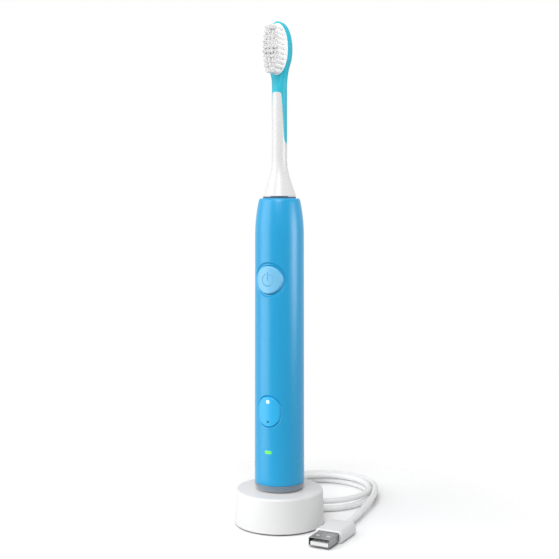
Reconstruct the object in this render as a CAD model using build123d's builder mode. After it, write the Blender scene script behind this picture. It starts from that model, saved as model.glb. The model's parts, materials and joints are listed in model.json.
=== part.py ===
from build123d import *
import math
import os

os.makedirs("parts", exist_ok=True)

# An electric toothbrush standing on its charger, in millimetres.
# The origin is the centre of the charger's underside, +Z is up and the brush faces -Y.

# Charger puck
foot_height = 0.9
foot_radius = 21.5
foot_width = 4.0
foot_seat_depth = 0.8
puck_height = 19.1
puck_bottom_radius = 24.8
puck_top_radius = 24.3
puck_wall = 1.8
puck_edge_round = 1.3
base_plate_thickness = 2.0
post_radius = 4.5
post_height = 11.0
post_wall = 1.0
post_round = 1.4

# Charger electronics
board_standoff = 3.0
board_thickness = 1.2
charger_board_radius = 15.0
stake_radius = 1.0
stake_circle_radius = 11.5
stake_count = 3
core_radius = 1.5
bobbin_wall = 0.5
bobbin_flange = 0.8
winding_thickness = 1.0
component_offset = 6.5
component_height = 2.5
capacitor_radius = 2.4

# Handle outside
cap_ring_height = 4.2
cap_edge_round = 3.0
shell_length = 157.1
shell_bottom_radius = 13.8
shell_shoulder_radius = 13.4
shell_top_radius = 11.1
shoulder_height = 20.3
shell_wall = 1.7
shell_top_thickness = 2.5
shell_rim_round = 1.0

# Bottom cap
socket_clearance = 0.4
socket_wall = 1.2
cap_floor = 1.6
spigot_height = 7.0
spigot_wall = 1.5
seal_height = 1.6
seal_depth = 0.9
seal_level = 2.6

# Buttons and charge light, with levels measured from the handle's ends
power_below_top = 43.9
power_radius = 7.6
power_proud = 0.8
power_recess_radius = 9.6
power_recess_depth = 0.7
mode_above_seat = 45.4
mode_width = 12.8
mode_length = 16.3
mode_proud = 0.4
mode_recess_margin = 1.0
mode_recess_depth = 0.4
dot_spacing = 11.0
light_dot_radius = 1.1
dark_dot_radius = 0.7
dot_depth = 0.5
button_travel = 0.8
button_flange_width = 0.9
button_flange_thickness = 0.8
button_edge_round = 0.6
stem_radius = 1.5
lamp_above_seat = 22.9
lamp_width = 4.5
lamp_height = 1.9

# Handle inside
carrier_wall = 1.2
bulkhead_thickness = 4.0
cell_radius = 5.0
cell_length = 44.0
cell_above_spigot = 9.0
contact_thickness = 0.5
contact_radius = 3.5
circuit_board_half_width = 6.5
circuit_board_thickness = 1.0
circuit_board_over_button = 5.0
switch_width = 6.0
switch_height = 1.8
plunger_radius = 1.0
plunger_root = 0.6
led_height = 1.0
screw_radius = 0.8
screw_length = 5.0
screw_head_radius = 1.5
screw_head_height = 0.9
coil_winding_height = 6.0
coil_winding_width = 2.4

# Drive
shaft_radius = 2.0
shaft_reach = 25.0
shaft_flat_depth = 0.5
shaft_flat_length = 14.0
rotor_radius = 5.0
air_gap = 0.5
stator_length = 11.5
stator_slot_width = 5.0
bearing_radius = 4.0
bearing_length = 4.0
tower_radius = 5.8
tower_height = 10.0
seal_flange_radius = 9.0
seal_flange_proud = 0.9
seal_flange_seat = 0.8
seal_plug_radius = 5.0
seal_lip_radius = 3.2
seal_lip_height = 1.2

# Brush head, with heights measured from the skirt's lower edge
head_gap = 1.1
skirt_radius = 9.1
skirt_wall = 1.2
skirt_depth = 8.0
flare_radius = 5.9
flare_height = 9.8
neck_radius = 4.15
neck_start = 20.0
root_height = 56.8
root_middle_half_width = 4.7
root_middle_half_depth = 2.95
root_end_half_width = 6.2
root_end_half_depth = 2.6
root_end_inset = 5.0
head_centre_height = 79.1
head_half_width = 7.4
head_half_length = 14.8
head_front = 2.9
head_back = 3.0
head_back_round = 2.4
skin = 0.8
rim = 1.0
panel_top_height = 56.3
panel_half_depth = 3.2
tongue_height = 30.8
tongue_half_depth = 1.6
tongue_end_height = 26.2
panel_corner_round = 1.4
tongue_corner_round = 3.0
clip_wall = 0.9

# Bristles
plate_proud = 0.2
plate_thickness = 0.8
tuft_rows = 10
tuft_row_pitch = 2.6
tuft_pitch = 2.0
tuft_margin = 2.0
bristle_length = 7.4
bristle_wave = 0.3
strand_width = 0.3
inner_strands = 3
inner_strand_circle = 0.28
outer_strands = 7
outer_strand_circle = 0.82

# Cord, its coil and its plug
cord_diameter = 3.5
cord_sides = 8
exit_angle = 133.0
exit_height = 6.4
gland_reach = 7.0
gland_radius = 3.0
gland_tip_radius = 2.4
gland_flange_radius = 4.2
gland_flange_thickness = 1.2
gland_groove_count = 3
gland_groove_depth = 0.5
gland_groove_width = 0.7
coil_centre_x = -2.0
coil_centre_y = 58.7
coil_start_angle = 182.0
coil_sweep = 887.0
coil_first_radius = 31.8
coil_turn_step = 4.1
coil_layer_step = 4.0
climb_start = 265.0
climb_end = 445.0
lead_first_run = 10.5
lead_last_run = 9.5
tail_first_run = 15.0
tail_bend_x = 37.0
tail_bend_y = 33.5
tail_bend_height = 4.5
tail_last_run = 16.1
run_share = 0.45
plug_x = 38.6
plug_rear_y = 0.4
grip_length = 19.3
grip_width = 14.8
grip_height = 6.8
grip_corner_round = 2.4
grip_edge_round = 1.0
usb_width = 12.0
usb_height = 4.5
usb_wall = 0.3
usb_length = 11.8
usb_root = 4.0
usb_corner_round = 0.6
window_width = 2.5
window_length = 2.0
window_spacing = 5.2
window_from_tip = 5.0
tongue_thickness = 1.9
contact_count = 4
contact_pitch = 2.3
contact_width = 1.1
contact_strip_length = 8.0
contact_strip_thickness = 0.2

# Clearances
slip = 0.02
press = 0.1
running = 0.05
free = 0.3

# Levels
edge_z = foot_height
seat_z = foot_height + puck_height
shell_z = seat_z + cap_ring_height
top_z = shell_z + shell_length
shoulder_z = top_z - shoulder_height
head_z = top_z + head_gap
spigot_z = shell_z + spigot_height
power_z = top_z - power_below_top
mode_z = seat_z + mode_above_seat
lamp_z = seat_z + lamp_above_seat

# Radii and depths that several pieces share
bore_radius = shell_shoulder_radius - shell_wall
puck_inner_radius = puck_top_radius - puck_wall
post_inner_radius = post_radius - post_wall
flange_outer_radius = bore_radius - free
flange_inner_radius = flange_outer_radius - button_flange_thickness
carrier_radius = bore_radius - free
carrier_inner_radius = carrier_radius - carrier_wall
board_chord = math.sqrt(flange_inner_radius**2 - circuit_board_half_width**2)
board_front_y = button_travel + free - board_chord
board_back_y = board_front_y + circuit_board_thickness
plunger_proud = button_travel + press
stem_end_y = board_front_y - switch_height - plunger_proud
front_reach = 2 * shell_bottom_radius


def handle_form(extra):
    """The handle's solid outer form, grown by extra all round."""
    with BuildPart() as form:
        with BuildSketch(Plane.XZ):
            with BuildLine():
                floor = Line((0, shell_z), (shell_bottom_radius + extra, shell_z))
                side = Line(floor @ 1, (shell_shoulder_radius + extra, shoulder_z))
                shoulder = TangentArc(side @ 1, (shell_top_radius + extra, top_z + extra), tangent=(0, 1))
                lid = Line(shoulder @ 1, (0, top_z + extra))
                Line(lid @ 1, (0, shell_z))
            make_face()
        revolve(axis=Axis.Z)
    return form.part


def round_prism(level, radius, start_y):
    """A round bar that runs forward from start_y at the given level."""
    with BuildPart() as bar:
        with BuildSketch(Plane.XZ.offset(-start_y)):
            with Locations((0, level)):
                Circle(radius)
        extrude(amount=front_reach + start_y)
    return bar.part


def pill_prism(level, width, height, start_y):
    """A bar of pill section that runs forward from start_y at the given level."""
    with BuildPart() as bar:
        with BuildSketch(Plane.XZ.offset(-start_y)):
            with Locations((0, level)):
                Rectangle(width, height)
            fillet(vertices(), radius=min(width, height) / 2 - slip)
        extrude(amount=front_reach + start_y)
    return bar.part


def bore_cylinder(radius):
    """A cylinder on the handle's axis, longer than the handle."""
    with BuildPart() as rod:
        with BuildSketch(Plane.XY.offset(seat_z - shell_length)):
            Circle(radius)
        extrude(amount=3 * shell_length)
    return rod.part


def neck_profile(inset):
    """Outline of the flared skirt and straight neck, drawn into the open line."""
    axis_low = Line((0, head_z), (skirt_radius - inset, head_z))
    flare = Line(axis_low @ 1, (flare_radius - inset, head_z + flare_height))
    blend = TangentArc(flare @ 1, (neck_radius - inset, head_z + neck_start), tangent=flare % 1)
    neck = Line(blend @ 1, (neck_radius - inset, head_z + root_height))
    cap = Line(neck @ 1, (0, head_z + root_height))
    Line(cap @ 1, (0, head_z))


def head_form(inset):
    """The brush head's solid outer form, shrunk by inset all round."""
    head_centre_z = head_z + head_centre_height
    root_z = head_z + root_height
    root_middle_z = head_centre_z - head_half_length
    root_end_z = head_centre_z - root_end_inset
    with BuildPart() as paddle:
        with BuildSketch(Plane.XZ.offset(head_front)):
            with Locations((0, head_centre_z)):
                Ellipse(head_half_width - inset, head_half_length - inset)
        extrude(amount=-(head_front + head_back - inset))
        fillet(paddle.faces().sort_by(Axis.Y)[-1].edges(), radius=head_back_round - inset)
    with BuildPart() as form:
        with BuildSketch(Plane.XZ):
            with BuildLine():
                neck_profile(inset)
            make_face()
        revolve(axis=Axis.Z)
        with BuildSketch(Plane.XY.offset(root_z)):
            Circle(neck_radius - inset)
        with BuildSketch(Plane.XY.offset(root_middle_z)):
            Ellipse(root_middle_half_width - inset, root_middle_half_depth - inset)
        with BuildSketch(Plane.XY.offset(root_end_z)):
            Ellipse(root_end_half_width - inset, root_end_half_depth - inset)
        loft()
        add(paddle.part)
    return form.part


# Puck moulding with the charging post that the handle stands on
with BuildPart() as charger_shell:
    with BuildSketch(Plane.XZ):
        with BuildLine():
            Polyline(
                (0, seat_z + post_height),
                (post_radius, seat_z + post_height),
                (post_radius, seat_z),
                (puck_top_radius, seat_z),
                (puck_bottom_radius, edge_z),
                (puck_inner_radius, edge_z),
                (puck_inner_radius, seat_z - puck_wall),
                (post_inner_radius, seat_z - puck_wall),
                (post_inner_radius, seat_z + post_height - post_wall),
                (0, seat_z + post_height - post_wall),
                close=True,
            )
        make_face()
        fillet(vertices().sort_by_distance((puck_top_radius, seat_z))[0], radius=puck_edge_round)
        fillet(vertices().sort_by_distance((post_radius, seat_z + post_height))[0], radius=post_round)
    revolve(axis=Axis.Z)
    exit_plane = Plane(
        origin=(0, 0, exit_height),
        x_dir=(0, 0, 1),
        z_dir=(math.cos(math.radians(exit_angle)), math.sin(math.radians(exit_angle)), 0),
    )
    with BuildSketch(exit_plane.offset(puck_inner_radius - gland_flange_radius)):
        Circle(gland_radius + slip)
    extrude(amount=puck_bottom_radius, mode=Mode.SUBTRACT)
charger_shell.part.label = "charger_shell"
export_step(charger_shell.part, "parts/charger_shell.step")

# Base plate with its foot groove and the stakes that hold the board
plate_top_z = edge_z + base_plate_thickness
charger_board_z = plate_top_z + board_standoff
with BuildPart() as base_plate:
    with BuildSketch(Plane.XY.offset(edge_z)):
        Circle(puck_inner_radius - press)
    extrude(amount=base_plate_thickness)
    with BuildSketch(Plane.XY.offset(edge_z)):
        Circle(foot_radius + slip)
        Circle(foot_radius - foot_width - slip, mode=Mode.SUBTRACT)
    extrude(amount=foot_seat_depth, mode=Mode.SUBTRACT)
    with BuildSketch(Plane.XY.offset(plate_top_z)):
        with PolarLocations(stake_circle_radius, stake_count):
            Circle(2 * stake_radius)
    extrude(amount=board_standoff)
    with BuildSketch(Plane.XY.offset(charger_board_z)):
        with PolarLocations(stake_circle_radius, stake_count):
            Circle(stake_radius)
    extrude(amount=board_thickness + stake_radius)
base_plate.part.label = "base_plate"
export_step(base_plate.part, "parts/base_plate.step")

# Rubber ring that the puck stands on
with BuildPart() as foot_ring:
    with BuildSketch(Plane.XY):
        Circle(foot_radius)
        Circle(foot_radius - foot_width, mode=Mode.SUBTRACT)
    extrude(amount=foot_height + foot_seat_depth)
foot_ring.part.label = "foot_ring"
export_step(foot_ring.part, "parts/foot_ring.step")

# Charger board, staked on the base plate, with its tallest components
bobbin_z = charger_board_z + board_thickness
with BuildPart() as charger_board:
    with BuildSketch(Plane.XY.offset(charger_board_z)):
        Circle(charger_board_radius)
        with PolarLocations(stake_circle_radius, stake_count):
            Circle(stake_radius + slip, mode=Mode.SUBTRACT)
    extrude(amount=board_thickness)
    with BuildSketch(Plane.XY.offset(bobbin_z)):
        with Locations((-component_offset, -component_offset)):
            Circle(capacitor_radius)
        with Locations((component_offset, -component_offset)):
            Rectangle(2 * capacitor_radius, 2 * capacitor_radius)
    extrude(amount=component_height)
charger_board.part.label = "charger_board"
export_step(charger_board.part, "parts/charger_board.step")

# Bobbin that stands on the board and fills the charging post
bobbin_top_z = seat_z + post_height - post_wall - press
bobbin_radius = core_radius + slip + bobbin_wall
with BuildPart() as primary_bobbin:
    with BuildSketch(Plane.XY.offset(bobbin_z)):
        Circle(bobbin_radius)
        Circle(core_radius + slip, mode=Mode.SUBTRACT)
    extrude(amount=bobbin_top_z - bobbin_z)
    with BuildSketch(Plane.XY.offset(bobbin_z), Plane.XY.offset(bobbin_top_z - bobbin_flange)):
        Circle(post_inner_radius - press)
        Circle(core_radius + slip, mode=Mode.SUBTRACT)
    extrude(amount=bobbin_flange)
primary_bobbin.part.label = "primary_bobbin"
export_step(primary_bobbin.part, "parts/primary_bobbin.step")

# Winding on the bobbin
with BuildPart() as primary_coil:
    with BuildSketch(Plane.XY.offset(bobbin_z + bobbin_flange)):
        Circle(min(bobbin_radius + winding_thickness, post_inner_radius - press))
        Circle(bobbin_radius + slip, mode=Mode.SUBTRACT)
    extrude(amount=bobbin_top_z - bobbin_z - 2 * bobbin_flange)
primary_coil.part.label = "primary_coil"
export_step(primary_coil.part, "parts/primary_coil.step")

# Ferrite rod in the bobbin
with BuildPart() as ferrite_core:
    with BuildSketch(Plane.XY.offset(bobbin_z)):
        Circle(core_radius)
    extrude(amount=bobbin_top_z - bobbin_z)
ferrite_core.part.label = "ferrite_core"
export_step(ferrite_core.part, "parts/ferrite_core.step")

# Gland: a flange behind the puck's wall, flat where it meets the base plate, and a grooved sleeve outside
gland_flange_face = math.sqrt(puck_inner_radius**2 - gland_flange_radius**2) - press
gland_tip = puck_bottom_radius + gland_reach
gland_axis_plane = Plane(origin=(0, 0, exit_height), x_dir=exit_plane.z_dir, z_dir=(0, 0, 1))
with BuildPart() as cord_gland:
    with BuildSketch(gland_axis_plane):
        with BuildLine():
            Polyline(
                (gland_flange_face - gland_flange_thickness, 0),
                (gland_flange_face - gland_flange_thickness, gland_flange_radius),
                (gland_flange_face, gland_flange_radius),
                (gland_flange_face, gland_radius),
                (puck_bottom_radius, gland_radius),
                (gland_tip, gland_tip_radius),
                (gland_tip, 0),
                close=True,
            )
        make_face()
        groove_pitch = gland_reach / (gland_groove_count + 1)
        for groove in range(gland_groove_count):
            with Locations((puck_bottom_radius + groove_pitch * (groove + 1), gland_radius)):
                Rectangle(gland_groove_width, 2 * gland_groove_depth + gland_radius - gland_tip_radius,
                          mode=Mode.SUBTRACT)
    revolve(axis=Axis(origin=(0, 0, exit_height), direction=exit_plane.z_dir))
    split(bisect_by=Plane.XY.offset(plate_top_z + slip), keep=Keep.TOP)
cord_gland.part.label = "cord_gland"
export_step(cord_gland.part, "parts/cord_gland.step")

# Route of the cord
cord_radius = cord_diameter / 2


def coil_radius(turn):
    """Radius of the coil after turn degrees: it winds in on the table, then out on top."""
    reversal = (climb_start + climb_end) / 2
    inward = coil_first_radius - coil_turn_step * min(turn, reversal) / 360
    return inward + coil_turn_step * max(turn - reversal, 0) / 360


def coil_height(turn):
    """Height of the cord's centre, which climbs one layer over the half turn of the reversal."""
    climb = min(max((turn - climb_start) / (climb_end - climb_start), 0), 1)
    return cord_radius + coil_layer_step * (1 - math.cos(math.pi * climb)) / 2


def coil_point(turn):
    """Point of the coil's centre line after turn degrees, seen from above going clockwise."""
    angle = math.radians(coil_start_angle - turn)
    radius = coil_radius(turn)
    return Vector(
        coil_centre_x + radius * math.cos(angle),
        coil_centre_y + radius * math.sin(angle),
        coil_height(turn),
    )


def coil_tangent(turn):
    """Direction of the coil's centre line after turn degrees."""
    return (coil_point(turn + 0.5) - coil_point(turn - 0.5)).normalized()


def level_tangent(turn):
    """Direction of the coil at one of its ends, kept level."""
    along = coil_tangent(turn)
    return Vector(along.X, along.Y, 0).normalized()


def biarc(start, start_tangent, end, end_tangent):
    """Two arcs, tangent to each other, between two points with given directions."""
    chord = end - start
    both = start_tangent + end_tangent
    spread = 2 * (1 - start_tangent.dot(end_tangent))
    reach = (math.sqrt(chord.dot(both) ** 2 + spread * chord.dot(chord)) - chord.dot(both)) / spread
    first_corner = start + start_tangent * reach
    second_corner = end - end_tangent * reach
    middle = (first_corner + second_corner) * 0.5
    TangentArc(start, middle, tangent=start_tangent)
    TangentArc(middle, end, tangent=(second_corner - first_corner).normalized())


quarter_count = round(coil_sweep / 90)
quarter = coil_sweep / quarter_count
coil_in = level_tangent(0)
coil_out = level_tangent(coil_sweep)
coil_first = coil_point(0) - coil_in * cord_diameter
coil_last = coil_point(coil_sweep) + coil_out * cord_diameter

# Coil of the cord behind the puck, two layers wound as one tube
with BuildPart() as cord_coil:
    with BuildLine() as coil_path:
        Line(coil_first, coil_point(0))
        for step in range(quarter_count):
            here = quarter * step
            there = here + quarter
            leave = coil_in if step == 0 else coil_tangent(here)
            arrive = coil_out if step == quarter_count - 1 else coil_tangent(there)
            biarc(coil_point(here), leave, coil_point(there), arrive)
        Line(coil_point(coil_sweep), coil_last)
    with BuildSketch(Plane(origin=coil_first, x_dir=(0, 0, 1), z_dir=coil_in)):
        RegularPolygon(cord_radius, cord_sides)
    sweep(path=coil_path.wires()[0])
cord_coil.part.label = "cord_coil"
export_step(cord_coil.part, "parts/cord_coil.step")


def cord_stretch_radii(points):
    """Largest arc at each inner point of a route that its two runs leave room for."""
    radii = []
    for before, here, after in zip(points, points[1:], points[2:]):
        turn = (here - before).get_angle(after - here)
        shorter = min((here - before).length, (after - here).length)
        radii.append(run_share * shorter / math.tan(math.radians(turn / 2)))
    return radii


# Lead from the gland down to the coil
exit_direction = exit_plane.z_dir
lead_start = Vector(0, 0, exit_height) + exit_direction * gland_tip
lead_points = [
    lead_start,
    lead_start + exit_direction * lead_first_run,
    coil_first - coil_in * lead_last_run,
    coil_first,
]
lead_radii = cord_stretch_radii(lead_points)
with BuildPart() as cord_lead:
    with BuildLine() as lead_path:
        FilletPolyline(*lead_points, radius=lead_radii)
    with BuildSketch(Plane(origin=lead_start, x_dir=(0, 0, 1), z_dir=exit_direction)):
        RegularPolygon(cord_radius, cord_sides)
    sweep(path=lead_path.wires()[0])
cord_lead.part.label = "cord_lead"
export_step(cord_lead.part, "parts/cord_lead.step")

# Tail from the coil to the plug
plug_height = grip_height / 2
tail_points = [
    coil_last,
    coil_last + coil_out * tail_first_run,
    Vector(tail_bend_x, tail_bend_y, tail_bend_height),
    Vector(plug_x, plug_rear_y + tail_last_run, plug_height),
    Vector(plug_x, plug_rear_y, plug_height),
]
tail_radii = cord_stretch_radii(tail_points)
with BuildPart() as cord_tail:
    with BuildLine() as tail_path:
        FilletPolyline(*tail_points, radius=tail_radii)
    with BuildSketch(Plane(origin=coil_last, x_dir=(0, 0, 1), z_dir=coil_out)):
        RegularPolygon(cord_radius, cord_sides)
    sweep(path=tail_path.wires()[0])
cord_tail.part.label = "cord_tail"
export_step(cord_tail.part, "parts/cord_tail.step")

# Plug grip, lying flat with its mouth towards -Y
grip_plane = Plane(origin=(plug_x, plug_rear_y, plug_height), x_dir=(1, 0, 0), z_dir=(0, -1, 0))
grip_front_plane = grip_plane.offset(grip_length)
with BuildPart() as usb_grip:
    with BuildSketch(grip_plane):
        RectangleRounded(grip_width, grip_height, grip_corner_round)
    extrude(amount=grip_length)
    fillet(usb_grip.faces().sort_by(Axis.Y)[0].edges(), radius=grip_edge_round)
    fillet(usb_grip.faces().sort_by(Axis.Y)[-1].edges(), radius=grip_edge_round)
    with BuildSketch(grip_front_plane):
        RectangleRounded(usb_width + 2 * slip, usb_height + 2 * slip, usb_corner_round + slip)
    extrude(amount=-usb_root, mode=Mode.SUBTRACT)
usb_grip.part.label = "usb_grip"
export_step(usb_grip.part, "parts/usb_grip.step")

# Folded steel shell of the plug, with its four latch windows
window_level = usb_length - window_from_tip
with BuildPart() as usb_shell:
    with BuildSketch(grip_front_plane.offset(-usb_root)):
        RectangleRounded(usb_width, usb_height, usb_corner_round)
        RectangleRounded(usb_width - 2 * usb_wall, usb_height - 2 * usb_wall, usb_corner_round - usb_wall,
                         mode=Mode.SUBTRACT)
    extrude(amount=usb_root + usb_length)
    with BuildSketch(Plane(origin=(plug_x, plug_rear_y - grip_length - window_level, 0))):
        with GridLocations(window_spacing, 1, 2, 1):
            Rectangle(window_width, window_length)
    extrude(amount=grip_height, mode=Mode.SUBTRACT)
usb_shell.part.label = "usb_shell"
export_step(usb_shell.part, "parts/usb_shell.step")

# Plastic tongue in the lower half of the plug's mouth, on a block that closes the shell's root
mouth_width = usb_width - 2 * usb_wall
mouth_height = usb_height - 2 * usb_wall
tongue_level = tongue_thickness / 2 - mouth_height / 2
with BuildPart() as usb_tongue:
    with BuildSketch(grip_front_plane.offset(-usb_root)):
        RectangleRounded(mouth_width - 2 * slip, mouth_height - 2 * slip, usb_corner_round - usb_wall)
    extrude(amount=usb_root)
    with BuildSketch(grip_front_plane):
        with Locations((0, tongue_level + slip)):
            Rectangle(mouth_width - 2 * usb_corner_round, tongue_thickness)
    extrude(amount=usb_length - usb_wall)
usb_tongue.part.label = "usb_tongue"
export_step(usb_tongue.part, "parts/usb_tongue.step")

# Contact strips on the tongue
with BuildPart() as usb_contacts:
    with BuildSketch(grip_front_plane.offset(usb_wall)):
        with Locations((0, tongue_level + slip + (tongue_thickness + contact_strip_thickness) / 2)):
            with GridLocations(contact_pitch, 1, contact_count, 1):
                Rectangle(contact_width, contact_strip_thickness)
    extrude(amount=contact_strip_length)
usb_contacts.part.label = "usb_contacts"
export_step(usb_contacts.part, "parts/usb_contacts.step")

# Handle shell: a tapered tube with a shoulder, button openings in shallow recesses and a lamp slot
handle_outer = handle_form(0)
power_hole = round_prism(power_z, power_radius + free, 0)
power_recess_floor = handle_form(-power_recess_depth)
mode_hole = pill_prism(mode_z, mode_width + 2 * free, mode_length + 2 * free, 0)
mode_recess_floor = handle_form(-mode_recess_depth)
mode_recess_width = mode_width + 2 * mode_recess_margin
mode_recess_length = mode_length + 2 * mode_recess_margin
lamp_hole = pill_prism(lamp_z, lamp_width + 2 * slip, lamp_height + 2 * slip, 0)

with BuildPart() as power_recess:
    add(round_prism(power_z, power_recess_radius, 0))
    add(power_recess_floor, mode=Mode.SUBTRACT)

with BuildPart() as mode_recess:
    add(pill_prism(mode_z, mode_recess_width, mode_recess_length, 0))
    add(mode_recess_floor, mode=Mode.SUBTRACT)

with BuildPart() as handle_shell:
    add(handle_outer)
    with BuildSketch(Plane.XZ):
        with BuildLine():
            bore_floor = Line((0, shell_z), (bore_radius, shell_z))
            bore_side = Line(bore_floor @ 1, (bore_radius, shoulder_z))
            bore_end = (shell_top_radius - shell_wall, top_z - shell_top_thickness)
            bore_shoulder = TangentArc(bore_side @ 1, bore_end, tangent=(0, 1))
            bore_lid = Line(bore_shoulder @ 1, (0, top_z - shell_top_thickness))
            Line(bore_lid @ 1, (0, shell_z))
        make_face()
    revolve(axis=Axis.Z, mode=Mode.SUBTRACT)
    with BuildSketch(Plane.XY.offset(top_z)):
        Circle(seal_flange_radius + slip)
    extrude(amount=-seal_flange_seat, mode=Mode.SUBTRACT)
    with BuildSketch(Plane.XY.offset(top_z)):
        Circle(seal_plug_radius + slip)
    extrude(amount=-shell_top_thickness, mode=Mode.SUBTRACT)
    add(power_recess.part, mode=Mode.SUBTRACT)
    add(mode_recess.part, mode=Mode.SUBTRACT)
    add(power_hole, mode=Mode.SUBTRACT)
    add(mode_hole, mode=Mode.SUBTRACT)
    add(lamp_hole, mode=Mode.SUBTRACT)
    rim_edges = handle_shell.edges().filter_by(GeomType.CIRCLE).group_by(Axis.Z)[-1]
    fillet(rim_edges.sort_by(SortBy.RADIUS)[-1], radius=shell_rim_round)
handle_shell.part.label = "handle_shell"
export_step(handle_shell.part, "parts/handle_shell.step")

# Bottom cap: the grey ring, the charging socket and a spigot up into the shell
socket_radius = post_radius + socket_clearance
socket_top_z = seat_z + post_height + socket_clearance
cup_radius = socket_radius + socket_wall
spigot_radius = bore_radius - press
seal_z = shell_z + seal_level
with BuildPart() as bottom_cap:
    with BuildSketch(Plane.XZ):
        with BuildLine():
            Polyline(
                (socket_radius, seat_z),
                (shell_bottom_radius, seat_z),
                (shell_bottom_radius, shell_z),
                (spigot_radius, shell_z),
                (spigot_radius, spigot_z),
                (spigot_radius - spigot_wall, spigot_z),
                (spigot_radius - spigot_wall, seat_z + cap_floor),
                (cup_radius, seat_z + cap_floor),
                (cup_radius, socket_top_z + socket_wall),
                (0, socket_top_z + socket_wall),
                (0, socket_top_z),
                (socket_radius, socket_top_z),
                close=True,
            )
        make_face()
        fillet(vertices().sort_by_distance((shell_bottom_radius, seat_z))[0], radius=cap_edge_round)
        with Locations((spigot_radius - seal_depth / 2, seal_z)):
            Rectangle(seal_depth, seal_height, mode=Mode.SUBTRACT)
    revolve(axis=Axis.Z)
bottom_cap.part.label = "bottom_cap"
export_step(bottom_cap.part, "parts/bottom_cap.step")

# Sealing ring in the spigot's groove
with BuildPart() as cap_seal:
    with BuildSketch(Plane.XZ):
        with Locations((spigot_radius - seal_depth / 2 + press / 2, seal_z)):
            RectangleRounded(seal_depth + press - 2 * slip, seal_height - 2 * slip, seal_depth / 3)
    revolve(axis=Axis.Z)
cap_seal.part.label = "cap_seal"
export_step(cap_seal.part, "parts/cap_seal.step")

# Pick-up winding round the charging socket
with BuildPart() as pickup_coil:
    with BuildSketch(Plane.XY.offset(seat_z + cap_floor)):
        Circle(cup_radius + slip + coil_winding_width)
        Circle(cup_radius + slip, mode=Mode.SUBTRACT)
    extrude(amount=coil_winding_height)
pickup_coil.part.label = "pickup_coil"
export_step(pickup_coil.part, "parts/pickup_coil.step")

# Carrier: a half tube with bulkheads for the cell, the motor and its bearings
cell_z = spigot_z + cell_above_spigot
cell_top_z = cell_z + cell_length
lower_bulkhead_z = cell_z - contact_thickness - bulkhead_thickness
middle_bulkhead_z = cell_top_z + contact_thickness
top_bulkhead_z = shoulder_z - bulkhead_thickness
motor_z = top_bulkhead_z - stator_length
motor_bulkhead_z = motor_z - bulkhead_thickness
tower_z = shoulder_z + tower_height
cell_y = carrier_inner_radius - running - cell_radius
screw_levels = [lower_bulkhead_z + bulkhead_thickness / 2, middle_bulkhead_z + bulkhead_thickness / 2]
with BuildPart() as carrier:
    with BuildSketch(Plane.XY.offset(spigot_z)):
        Circle(carrier_radius)
        Circle(carrier_inner_radius, mode=Mode.SUBTRACT)
        with Locations((0, -carrier_radius)):
            Rectangle(2 * carrier_radius, 2 * carrier_radius, mode=Mode.SUBTRACT)
    extrude(amount=shoulder_z - spigot_z)
    bulkhead_levels = [lower_bulkhead_z, middle_bulkhead_z, motor_bulkhead_z]
    for level in bulkhead_levels:
        with BuildSketch(Plane.XY.offset(level)):
            Circle(carrier_radius)
            with Locations((0, board_back_y - carrier_radius)):
                Rectangle(2 * carrier_radius, 2 * carrier_radius, mode=Mode.SUBTRACT)
        extrude(amount=bulkhead_thickness)
    with BuildSketch(Plane.XY.offset(top_bulkhead_z)):
        Circle(carrier_radius)
    extrude(amount=bulkhead_thickness)
    with BuildSketch(Plane.XY.offset(shoulder_z)):
        Circle(tower_radius)
    extrude(amount=tower_height)
    with BuildSketch(Plane.XY.offset(motor_bulkhead_z)):
        Circle(bearing_radius + slip)
    extrude(amount=bulkhead_thickness, mode=Mode.SUBTRACT)
    with BuildSketch(Plane.XY.offset(top_bulkhead_z)):
        Circle(shaft_radius + free)
    extrude(amount=tower_z - top_bulkhead_z, mode=Mode.SUBTRACT)
    with BuildSketch(Plane.XY.offset(tower_z)):
        Circle(bearing_radius + slip)
    extrude(amount=-bearing_length, mode=Mode.SUBTRACT)
    with BuildSketch(Plane.XZ.offset(-board_back_y)):
        for level in screw_levels:
            with Locations((0, level)):
                Circle(screw_radius + slip)
    extrude(amount=-screw_length, mode=Mode.SUBTRACT)
carrier.part.label = "carrier"
export_step(carrier.part, "parts/carrier.step")

# Lithium cell in the carrier
with BuildPart() as battery_cell:
    with BuildSketch(Plane.XY.offset(cell_z)):
        with Locations((0, cell_y)):
            Circle(cell_radius)
    extrude(amount=cell_length)
battery_cell.part.label = "battery_cell"
export_step(battery_cell.part, "parts/battery_cell.step")

# Contact plates at the cell's ends
with BuildPart() as battery_contacts:
    with BuildSketch(Plane.XY.offset(cell_z - contact_thickness), Plane.XY.offset(cell_top_z)):
        with Locations((0, cell_y)):
            Circle(contact_radius)
    extrude(amount=contact_thickness)
battery_contacts.part.label = "battery_contacts"
export_step(battery_contacts.part, "parts/battery_contacts.step")

# Circuit board across the front of the carrier
circuit_board_z = lower_bulkhead_z
circuit_board_top_z = power_z + circuit_board_over_button
with BuildPart() as circuit_board:
    with BuildSketch(Plane.XZ.offset(-board_back_y)):
        with Locations((0, (circuit_board_z + circuit_board_top_z) / 2)):
            Rectangle(2 * circuit_board_half_width, circuit_board_top_z - circuit_board_z)
        for level in screw_levels:
            with Locations((0, level)):
                Circle(screw_radius + slip, mode=Mode.SUBTRACT)
    extrude(amount=circuit_board_thickness)
circuit_board.part.label = "circuit_board"
export_step(circuit_board.part, "parts/circuit_board.step")

# Screws that hold the board to the bulkheads
with BuildPart() as board_screws:
    with BuildSketch(Plane.XZ.offset(-board_front_y)):
        for level in screw_levels:
            with Locations((0, level)):
                Circle(screw_head_radius)
    extrude(amount=screw_head_height)
    with BuildSketch(Plane.XZ.offset(-board_front_y)):
        for level in screw_levels:
            with Locations((0, level)):
                Circle(screw_radius)
    extrude(amount=-screw_length)
board_screws.part.label = "board_screws"
export_step(board_screws.part, "parts/board_screws.step")


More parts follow.
